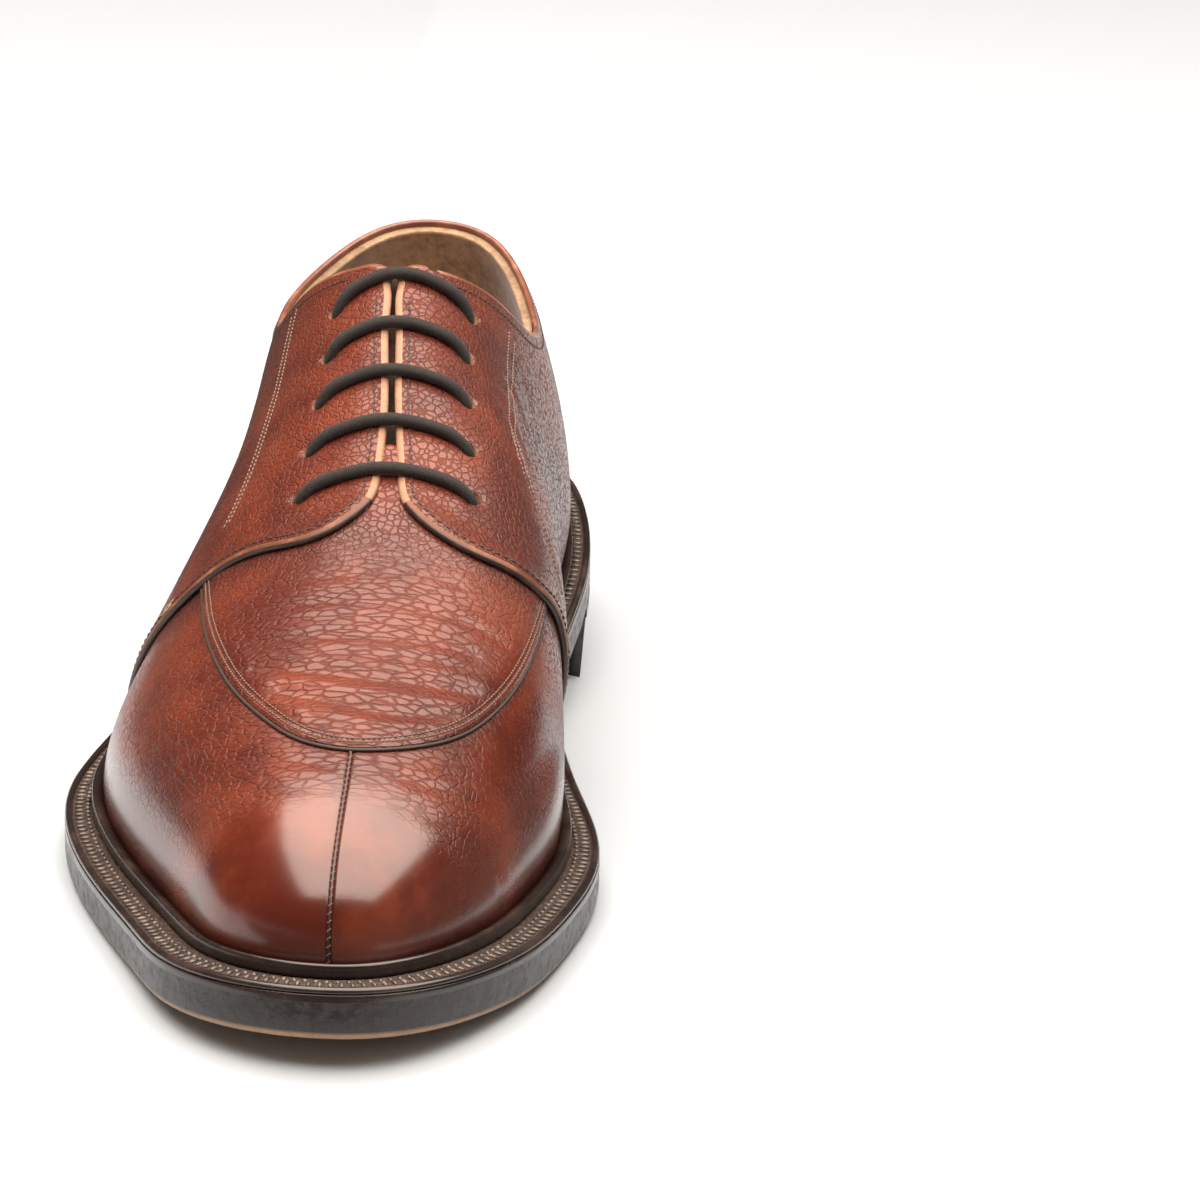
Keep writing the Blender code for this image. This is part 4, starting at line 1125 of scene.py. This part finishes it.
foot_turn = float(turn_of(FRONT_SIDE[-1][0]))
quarter_bottom = last_at(np.linspace(foot_turn, -foot_turn, 400), np.full(400, -1.0))
quarter_top = np.vstack([front_edges[-1][::-1], top_edges[-1][::-1], top_edges[1][1:], front_edges[1]])
quarter_ends = [np.repeat(line[:1], 2, axis=0) for line in (quarter_bottom, quarter_bottom[::-1])]
u_share = np.linspace(0.0, 1.0, 621)
v_share = shares(66, 10, 0.05)
quarter_turn, quarter_girth = span(quarter_bottom, quarter_top, *quarter_ends, u_share, v_share,
                                   (-foot_turn - 0.5, foot_turn + 0.5), (-1.0, 0.02))
front_line = {side: front_edges[side][40:] for side in (-1, 1)}
QUARTER_FOLDS = (
    ((25.5, 121.0), (32.0, 130.0), (37.5, 143.0), 1.7, 0.30),
    ((28.5, 133.0), (33.5, 141.0), (39.0, 154.0), 1.6, 0.28),
    ((23.5, 134.0), (29.0, 144.0), (35.0, 156.0), 1.5, 0.25),
    ((25.0, 148.0), (30.0, 154.0), (35.5, 163.0), 1.4, 0.22),
    ((30.0, 117.0), (36.0, 128.0), (41.0, 141.0), 1.7, 0.28),
    ((27.5, 108.0), (33.0, 114.0), (38.5, 124.0), 1.7, 0.20),
    ((-33.0, 137.0), (-36.0, 146.0), (-40.0, 155.0), 1.7, 0.22),
    ((-29.0, 128.0), (-31.5, 138.0), (-35.0, 148.0), 1.6, 0.26),
)


def quarter_face(place):
    """How far the quarters' face stands off the last, and how much of that is the front edge's lift."""
    flat_place = place.reshape(-1, 3)
    shape = place.shape[:-1]
    over_welt = place[..., 2] - sole_underside(place[..., 1]) - FEATHER_TOP
    from_front = np.minimum(*(distance_to(flat_place, front_line[side]) for side in (-1, 1))).reshape(shape)
    lift = QUARTER_LIFT * np.exp(-(from_front / 5.0) ** 2) * ease(over_welt, 2.0, 14.0)
    lift = lift * ease(place[..., 1], 170.0, 184.0)
    out = 0.3 + (QUARTER_OUT - 0.3) * ease(over_welt, 1.0, 13.0) + lift
    eyelet_gap = np.linalg.norm(place[..., None, :] - eyelet_place.reshape(-1, 3), axis=-1).min(axis=-1)
    out -= 0.5 * np.exp(-(eyelet_gap / 2.5) ** 2)
    return out - press_folds(place, QUARTER_FOLDS), lift


place = last_at(quarter_turn, quarter_girth)
quarter_out, lift = quarter_face(place)
quarter_thick = 1.75 + 0.4 * lift
points, face_rows = shell(quarter_turn, quarter_girth, quarter_out, quarter_thick,
                          ((0.50, 0.06), (1.05, 0.26), (1.40, 0.60), (1.52, 1.0), (1.42, 1.4), (1.0, 1.7)))
edge_station = place[:, -1, 1]
on_collar = (u_share > 0.5 - 0.5 * len(top_edges[1]) / len(quarter_top) - 0.004)
on_collar &= (u_share < 0.5 + 0.5 * len(top_edges[1]) / len(quarter_top) + 0.004)
# below the top of the cut edges, and on the quarters' back, the edges take dark_edge: partly the edge's own
# dark dye, partly painted shade in the gap under the lifted front edge
slots = np.zeros((points.shape[0] - 1, points.shape[1] - 1), int)
at_vamp = (edge_station > 181.0) | (place[:, -1, 2] < 70.0)
edge_slot = np.where(on_collar | (edge_station < 120.5), 2, np.where(at_vamp, 4, 1))[:-1, None]
slots[:, face_rows:face_rows + 4] = edge_slot
slots[:, face_rows + 2:face_rows + 4] = np.where(edge_slot == 4, 3, edge_slot)
slots[:, face_rows + 4:] = np.where(on_collar[:-1, None], 2, 3)

waxed_edge = dyed_leather("waxed_edge", (0.27, 0.10, 0.042), (0.13, 0.042, 0.018), 0.5,
                          patch_size=180.0, coat=0.1, gloss=0.3)
rolled_edge = dyed_leather("rolled_edge", (0.34, 0.13, 0.06), (0.17, 0.05, 0.025), 0.42, patch_size=120.0)
quarters = panel("quarters", points, [chestnut_leather, raw_edge, rolled_edge, dark_edge, waxed_edge],
                 ("upper",), slots)


def to_world_direction(vector):
    return Vector((vector[0], -vector[1], vector[2])).normalized()


bm = bmesh.new()
for middle, outward in zip(eyelet_place.reshape(-1, 3), eyelet_out.reshape(-1, 3)):
    spin = to_world_direction(outward).to_track_quat("Z", "Y").to_matrix().to_4x4()
    spin.translation = Vector(to_world(middle))
    bmesh.ops.create_cone(bm, cap_ends=True, segments=28, radius1=EYELET_HOLE / 2.0 * MM,
                          radius2=EYELET_HOLE / 2.0 * MM, depth=9.0 * MM, matrix=spin)
for face in bm.faces:
    face.material_index = 1
punch_mesh = bpy.data.meshes.new("eyelet_punch")
bm.to_mesh(punch_mesh)
bm.free()
punch_mesh.materials.append(chestnut_leather)
punch_mesh.materials.append(raw_edge)
punch = bpy.data.objects.new("eyelet_punch", punch_mesh)
scene.collection.objects.link(punch)


def punch_out(piece, cutter):
    """Cut the punched holes for good."""
    cut = piece.modifiers.new("punch", "BOOLEAN")
    cut.operation = "DIFFERENCE"
    cut.solver = "EXACT"
    cut.object = cutter
    whole = piece.data
    piece.data = bpy.data.meshes.new_from_object(piece.evaluated_get(bpy.context.evaluated_depsgraph_get()))
    piece.modifiers.remove(cut)
    bpy.data.meshes.remove(whole)


punch_out(quarters, punch)
upper_marks(quarters, ((front_line[-1], 2.2, 0.30), (front_line[1], 2.2, 0.30),
                       (np.vstack([top_edges[-1][::-1], top_edges[1]]), 1.6, 0.4)))


def flap(name, edge_line, spine, bounds, out, thickness, rim, surface, stands_for,
         columns=200, rows=24):
    """Closed flap of leather: a fan from a folded spine out to its edge, with the edge cut or rolled."""
    u_share = np.linspace(0.0, 1.0, columns + 1)
    v_share = shares(rows, 6, 0.08)
    fold = 1.0 - np.abs(2.0 * u_share - 1.0)
    v = v_share[None, :, None]
    patch = along_line(spine, fold)[:, None] * (1.0 - v) + along_line(edge_line, u_share)[:, None] * v
    turn, girth = settle(patch, *bounds)
    points, _ = shell(turn, girth, np.full(turn.shape, out), thickness, rim, first_closed=True)
    return panel(name, points, [surface], stands_for)


# Back strap
# A narrow strip of the same calf over the back seam, sewn down both sides.
STRAP = ((92.8, 8.6), (84.0, 8.2), (76.0, 7.2), (66.0, 6.2), (59.0, 4.6), (56.0, 2.4), (55.2, 0.0))
strap_half = curve_through([(-half, height) for height, half in STRAP], 60)
strap_line = np.vstack([strap_half, (strap_half * (-1.0, 1.0))[-2::-1]])
strap_seen = np.column_stack([strap_line[:, 0], np.zeros(len(strap_line)), strap_line[:, 1]])
strap_bounds = ((-0.7, 0.7), (-0.98, -0.2))
strap_edge = last_at(*settle(strap_seen, *strap_bounds, axes=(0, 2)))
strap_top = top_edges[1][0] - (0.0, 0.0, 0.9)
strap_edge[0, 2] = strap_edge[-1, 2] = strap_top[2]
spine_heights = np.linspace(strap_top[2], 60.0, 40)
strap_spine = last_at(*settle(np.column_stack([np.zeros(40), np.zeros(40), spine_heights]),
                              *strap_bounds, axes=(0, 2)))
strap = flap(
    "back_strap", strap_edge, strap_spine, strap_bounds, QUARTER_OUT + 1.0, 1.1,
    ((0.2, 0.08), (0.35, 0.3), (0.35, 0.7), (0.2, 1.0)), chestnut_leather, ("upper",),
    180, 14)
upper_marks(strap, ((strap_edge, 0.8, 0.3),))

# Lining and sock
# Golden tan nubuck glued inside the quarters and vamp, and a leather sock over the insole.
nubuck, tree, shader = new_material("nubuck_lining", (0.42, 0.23, 0.11), 0.85)
nap = noise(tree, object_vector(tree), 420.0, 6.0, 0.7)
strokes = noise(tree, object_vector(tree), 45.0, 4.0)
nap_tone = math_node(tree, "MULTIPLY", nap.outputs["Fac"], 0.5)
nap_tone = math_node(tree, "MULTIPLY_ADD", strokes.outputs["Fac"], 0.5, nap_tone)
nap_tone = ramp_between(tree, nap_tone, 0.38, 0.62)
tree.links.new(mix_colour(tree, nap_tone, (0.17, 0.08, 0.033), (0.38, 0.21, 0.10)),
               shader.inputs["Base Color"])
bump(tree, shader, nap.outputs["Fac"], 0.12)
shader.inputs["Sheen Weight"].default_value = 0.25
shader.inputs["Sheen Roughness"].default_value = 0.5

LINING_OUT, LINING_IN = -0.2, 2.2      # its two faces, out and in from the last
points, _ = shell(quarter_turn[::2], quarter_girth[::2], np.full(quarter_turn[::2].shape, LINING_OUT),
                  LINING_IN + LINING_OUT, ((-0.05, 0.3), (-0.1, 1.5)), inner_rows=30)
quarter_lining = panel("quarter_lining", points, [nubuck], ("upper",))
punch_out(quarter_lining, punch)
bpy.data.objects.remove(punch)

girths = np.linspace(-1.0, 1.0, 61)
steps = np.linspace(0.0, 1.0, 101)[:, None]
back_station = 151.0 + 19.0 * (1.0 - np.abs(girths))[None]
lining_turn = turn_of(back_station) + (math.pi - 0.002 - turn_of(back_station)) * steps
lining_girth = np.broadcast_to(girths[None], lining_turn.shape)
points, _ = shell(lining_turn, lining_girth, np.full(lining_turn.shape, -1.3), 0.75, ((0.0, 0.2),),
                  inner_rows=40)
panel("vamp_lining", points, [nubuck], ("upper",))

SOCK_EDGE = ((-0.5, WELT_BOTTOM + 0.05), (0.0, WELT_BOTTOM + 0.4), (0.0, 11.6), (-0.4, 11.95), (-1.0, 12.0))
sock_leather = dyed_leather("sock_leather", (0.42, 0.25, 0.13), (0.30, 0.17, 0.08), 0.55, depth=0.03)
finish_piece("sock", lay_sheet(plate_rows(EDGE + EDGE_OUT * -2.6, SOCK_EDGE)), [sock_leather],
             ("insole",))

# Tongue
# Softer leather, coloured far darker than the upper, sewn to the back of the vamp; it lies under the
# facings on their lining.
tongue_leather = dyed_leather("tongue_leather", (0.085, 0.038, 0.022), (0.026, 0.012, 0.008), 0.62,
                              patch_size=260.0, depth=0.12, coat=0.0, gloss=0.12)
TONGUE_OUTLINE = ((-24.0, 196.0), (-25.5, 178.0), (-26.0, 160.0), (-25.2, 140.0), (-22.5, 124.0),
                  (-18.0, 118.0), (-9.0, 115.6), (0.0, 115.0), (9.0, 115.6), (18.0, 118.0),
                  (22.5, 124.0), (25.2, 140.0), (26.0, 160.0), (25.5, 178.0), (24.0, 196.0))
tongue_edge = on_top(curve_through(TONGUE_OUTLINE, 200))
tongue_spine = on_top([(0.0, station) for station in np.linspace(196.0, 133.0, 60)])
flap("tongue_leaf", tongue_edge, tongue_spine, ((1.1, math.pi), (-0.9, 0.9)), -2.55, 1.7,
     ((0.25, 0.1), (0.45, 0.45), (0.5, 0.85), (0.45, 1.25), (0.25, 1.6)), tongue_leather,
     ("tongue",))

# Laces
# Round waxed cotton, straight laced: five bars that go down through the eyelets at both ends.
LACE_RADIUS = 1.42
LACE_SIDES = 14
waxed_cotton, tree, shader = new_material("waxed_cotton", (0.022, 0.014, 0.011), 0.55)
shader.inputs["Specular IOR Level"].default_value = 0.3
plait_uv = add_node(tree, "ShaderNodeUVMap", uv_map="UVMap")
weaves = []
for slant in (-1.0, 1.0):
    turned = add_node(tree, "ShaderNodeMapping")
    turned.inputs["Scale"].default_value = (52.0, 7.0, 1.0)
    turned.inputs["Rotation"].default_value = (0.0, 0.0, slant * 0.8)
    tree.links.new(plait_uv.outputs["UV"], turned.inputs["Vector"])
    wave = add_node(tree, "ShaderNodeTexWave", wave_type="BANDS", bands_direction="X")
    wave.inputs["Scale"].default_value = 1.0
    wave.inputs["Distortion"].default_value = 1.5
    tree.links.new(turned.outputs["Vector"], wave.inputs["Vector"])
    weaves.append(wave.outputs["Fac"])
plait = math_node(tree, "MAXIMUM", weaves[0], weaves[1])
tree.links.new(mix_colour(tree, plait, (0.006, 0.004, 0.0035), (0.026, 0.017, 0.013)),
               shader.inputs["Base Color"])
bump(tree, shader, plait, 0.14)
shader.inputs["Sheen Weight"].default_value = 0.06


def tube(points, radii, sides, around_from=(0.0, 0.0, 1.0)):
    """Grid of points round a smooth line, closed at both ends."""
    along = unit(np.gradient(points, axis=0))
    up = np.asarray(around_from, float)
    side_vectors = []
    for direction in along:
        up = unit(up - direction * np.dot(up, direction))
        side_vectors.append(up)
    across = np.array(side_vectors)
    third = np.cross(along, across)
    angles = np.linspace(0.0, 2.0 * math.pi, sides + 1)
    radii = np.asarray(radii)[:, None, None]
    ring = across[:, None] * np.cos(angles)[None, :, None] + third[:, None] * np.sin(angles)[None, :, None]
    return points[:, None] + ring * radii


def lace_path(row):
    """From under one facing, up through its eyelet, over to the other side and down again."""
    ends = []
    for column_number, inward in ((0, 1.0), (1, -1.0)):
        middle, outward = eyelet_place[row, column_number], eyelet_out[row, column_number]
        sideways = np.cross((0.0, 1.0, 0.0), outward)
        sideways = unit(sideways * inward * np.sign(sideways[0]))
        ends.append([middle - outward * 2.3 - sideways * 2.6, middle + outward * 0.25 - sideways * 0.3])
    left, right = ends
    start_across = left[-1][0] - ridge_x(left[-1][1])
    finish_across = right[-1][0] - ridge_x(right[-1][1])
    share = np.linspace(0.15, 0.85, 7)
    across = start_across + (finish_across - start_across) * share
    station = left[-1][1] + (right[-1][1] - left[-1][1]) * share
    plan = np.column_stack([ridge_x(station) + across, station, np.zeros(len(share))])
    turn, girth = settle(plan, (0.9, math.pi), (-0.8, 0.8), (0, 1))
    rise = QUARTER_OUT + LACE_RADIUS - 0.2
    middle = skin(turn, girth, rise)
    return curve_through(np.vstack([left, middle, right[::-1]]), 110)


for row in range(len(EYELETS)):
    path = lace_path(row)
    ends = np.minimum(np.arange(len(path)), np.arange(len(path))[::-1])
    radii = LACE_RADIUS * (0.86 + 0.14 * ease(ends, 2.0, 12.0)) * np.where(ends == 0, 0.02, 1.0)
    bm = lay_sheet(tube(path, radii, LACE_SIDES, (0.0, 1.0, 0.0)))
    finish_piece("lace_%d" % (row + 1), bm, [waxed_cotton],
                 ("lace_bar_%d" % (row + 1),), 0.03)

# Seam cords and stitches
# Linen thread: dark along the cut edges, brown on the apron and the split seam, grey-brown down
# the quarters. The dark cords sunk under the rows and in the split seam are painted shade of their
# grooves; the one along the apron's edge is partly a real cord. The welt's own stitches stand up
# as ridges of its leather.
thread_dark, _, _ = new_material("thread_dark", (0.035, 0.018, 0.012), 0.6)
thread_grey, _, _ = new_material("thread_grey", (0.19, 0.115, 0.080), 0.6)
thread_brown, _, _ = new_material("thread_brown", (0.15, 0.075, 0.048), 0.55)


def sew(name, line, normals, pitch, length, width, surface, height=0.6, slant=0.0):
    """A row of stitches, each a small flattened bead, along a line that lies on a piece."""
    run = run_along(line)
    wanted = np.arange(pitch / 2.0, run[-1] - pitch / 2.0, pitch)

    def at(values, where):
        return np.stack([np.interp(where, run, values[:, axis]) for axis in range(3)], -1)

    centre = at(line, wanted)
    along = unit(at(line, np.minimum(wanted + 0.3, run[-1])) - at(line, np.maximum(wanted - 0.3, 0.0)))
    up = at(normals, wanted)
    up = unit(up - along * (up * along).sum(1)[:, None])
    side = np.cross(up, along)
    along, side = (along * math.cos(slant) + side * math.sin(slant),
                   side * math.cos(slant) - along * math.sin(slant))
    bm = bmesh.new()
    bmesh.ops.create_uvsphere(bm, u_segments=6, v_segments=4, radius=0.5)
    bead = np.array([vert.co for vert in bm.verts])
    faces = [[vert.index for vert in face.verts] for face in bm.faces]
    bm.free()
    grown = (centre[:, None] + along[:, None] * bead[None, :, 2:3] * length
             + side[:, None] * bead[None, :, 0:1] * width
             + up[:, None] * bead[None, :, 1:2] * width * height)
    mesh = bpy.data.meshes.new(name)
    every = [[corner + k * len(bead) for corner in face] for k in range(len(centre)) for face in faces]
    mesh.from_pydata(to_world(grown).reshape(-1, 3), [], every)
    bm = bmesh.new()
    bm.from_mesh(mesh)
    bpy.data.meshes.remove(mesh)
    return finish_piece(name, bm, [surface], (), 0.0001)


def beside(line, distance, bounds):
    """Places on the last a distance to one side of a line: medial of it where it runs forwards."""
    turn, girth = settle(line, *bounds)
    across = unit(np.cross(unit(np.gradient(line, axis=0)), last_normal(turn, girth)))
    return settle(line + across * distance, *bounds)


def cord(name, line, radius, surface):
    """A thin round cord along a line of points."""
    radii = np.full(len(line), radius)
    radii[[0, -1]] = radius * 0.02
    return finish_piece(name, lay_sheet(tube(line, radii, 8)), [surface], (), 0.002)


on_half = {-1: ((0.5, 2.6), (-1.0, 0.12)), 1: ((0.5, 2.6), (-0.12, 1.0))}
on_wall = {-1: ((-0.2, 1.6), (-1.0, -0.02)), 1: ((-0.2, 1.6), (0.02, 1.0))}

# painted shade: the dark leather of the cords that stand for the shade in stitch furrows and in the split
# seam
furrow_shade = dyed_leather("stitch_furrow_shade", (0.060, 0.014, 0.008), (0.030, 0.008, 0.005), 0.5)


def stitch_row(name, turn, girth, out, pitch, width, surface):
    """Stitches over a dark cord sunk along them: painted shade of the furrow that the stitches pull into
    the leather.
    """
    sew(name, skin(turn, girth, out + 0.06), last_normal(turn, girth), pitch, pitch * 0.78, width,
        surface, 0.9)
    cord("furrow_" + name, skin(turn, girth, out - 0.26), 0.34, furrow_shade)


# the facings' and the front edge's own row, dark
for side, label in BOTH_SIDES:
    turn, girth = beside(front_edges[side][20:246], side * 1.35, on_half[side])
    out, _ = quarter_face(last_at(turn, girth))
    stitch_row("front_stitch_" + label, turn, girth, out, 2.1, 0.55, thread_dark)

# the row under the collar, dark
for side, label in BOTH_SIDES:
    turn, girth = beside(top_edges[side][8:], side * 2.6, on_wall[side])
    out, _ = quarter_face(last_at(turn, girth))
    stitch_row("collar_stitch_" + label, turn, girth, out, 1.9, 0.5, thread_dark)

# two fine rows down each quarter, which hold the facing's stay behind: across from the crest, station
STAY_ROWS = {
    -1: ((-23.4, 101.0), (-24.0, 112.0), (-24.9, 125.0), (-27.6, 140.0), (-31.2, 153.0), (-35.5, 163.0)),
    1: ((24.4, 103.0), (25.2, 121.5), (25.9, 134.0), (26.9, 145.0), (30.9, 155.0), (36.5, 164.0)),
}
for side, label in BOTH_SIDES:
    for row, shift in enumerate((-0.6, 0.6)):
        plan = curve_through([(across + shift, station) for across, station in STAY_ROWS[side]], 120)
        line = on_top(plan)
        line = line[line[:, 2] < topline_height(line[:, 1]) - 3.2]
        turn, girth = settle(line, *on_half[side])
        out, _ = quarter_face(last_at(turn, girth))
        stitch_row("stay_stitch_%s_%d" % (label, row + 1), turn, girth, out, 1.25, 0.45, thread_grey)

# the apron's two rows, brown, and the dark cord that lies along its folded edge, partly a real cord and
# partly painted shadow under the fold
on_apron = ((1.3, math.pi), (-0.95, 0.95))
for row, distance in enumerate((1.15, 2.25)):
    turn, girth = beside(edge_line, distance, on_apron)
    place = last_at(turn, girth)
    out = apron_face(place, np.full(len(place), distance))
    stitch_row("apron_stitch_%d" % (row + 1), turn, girth, out, 1.12, 0.5, thread_brown)
turn, girth = beside(edge_line, -0.62, on_apron)
cord("apron_cord_and_shadow", skin(turn, girth, np.full(len(turn), 0.18)), 0.42, thread_dark)

# the split seam: a dark cord sunk between the two halves, painted shade of the seam's groove, with the
# closing stitches over it
turn, girth = settle(toe_seam, (2.2, math.pi + 0.3), (-0.3, 1.0))
seam_normal = last_normal(turn, girth)
seam_line = even_points(toe_seam, 160)
seam_up = even_points(seam_normal, 160)
cord("toe_seam_shade_cord", (seam_line - seam_up * 0.2)[2:], 0.36, furrow_shade)
sew("toe_seam_stitch", seam_line + seam_up * 0.05, seam_up, 1.7, 1.25, 0.42, thread_brown, slant=0.9)

# the bar tacks that end the quarters' front rows
for side, label in BOTH_SIDES:
    meet = apron_line[back_first if side < 0 else count - back_first - 1]
    start = int(np.argmin(np.linalg.norm(front_edges[side] - meet, axis=1))) + 12
    turn, girth = beside(front_edges[side][start:start + 8], side * 1.6, on_half[side])
    out, _ = quarter_face(last_at(turn, girth))
    sew("bar_tack_" + label, skin(turn, girth, out + 0.1), last_normal(turn, girth), 0.62, 3.6, 0.5,
        thread_grey, slant=math.pi / 2.0)

# the back strap's rows
turn, girth = beside(strap_edge, 1.3, strap_bounds)
if np.linalg.norm(last_at(turn, girth) - strap_spine[20], axis=1).sum() > np.linalg.norm(
        strap_edge - strap_spine[20], axis=1).sum():
    turn, girth = beside(strap_edge, -1.3, strap_bounds)
sew("strap_stitch", skin(turn, girth, np.full(len(turn), QUARTER_OUT + 1.02)), last_normal(turn, girth),
    1.8, 1.3, 0.45, thread_dark)

# the welt's own stitches, each pressed up into a ridge by the wheel
ridge_leather = dyed_leather("welt_ridge", (0.20, 0.135, 0.10), (0.05, 0.034, 0.026), 0.4, patch_size=300.0)
up = np.tile((0.0, 0.0, 1.0), (len(EDGE), 1))
for name, out, pitch, length, width in (("wheeled_ridges", -1.3, 2.2, 2.3, 1.0),
                                        ("welt_stitches", -3.1, 2.2, 1.2, 1.1)):
    middle = SOLE_LINE + EDGE_OUT * (STRIP_OUT + out)
    clear = np.linalg.norm(middle - EDGE, axis=1) > STRIP_IN + 0.4
    line = np.column_stack([middle, sole_underside(middle[:, 1]) + STRIP_TOP + 0.1])
    if name == "welt_stitches":
        line = line[np.flatnonzero(clear)[0]:np.flatnonzero(clear)[-1] + 1]
    sew(name, line, up[:len(line)], pitch, length, width, ridge_leather, 1.0, math.pi / 2.0)

# Bounds of the dressed shoe, from the pieces that render
low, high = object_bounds()
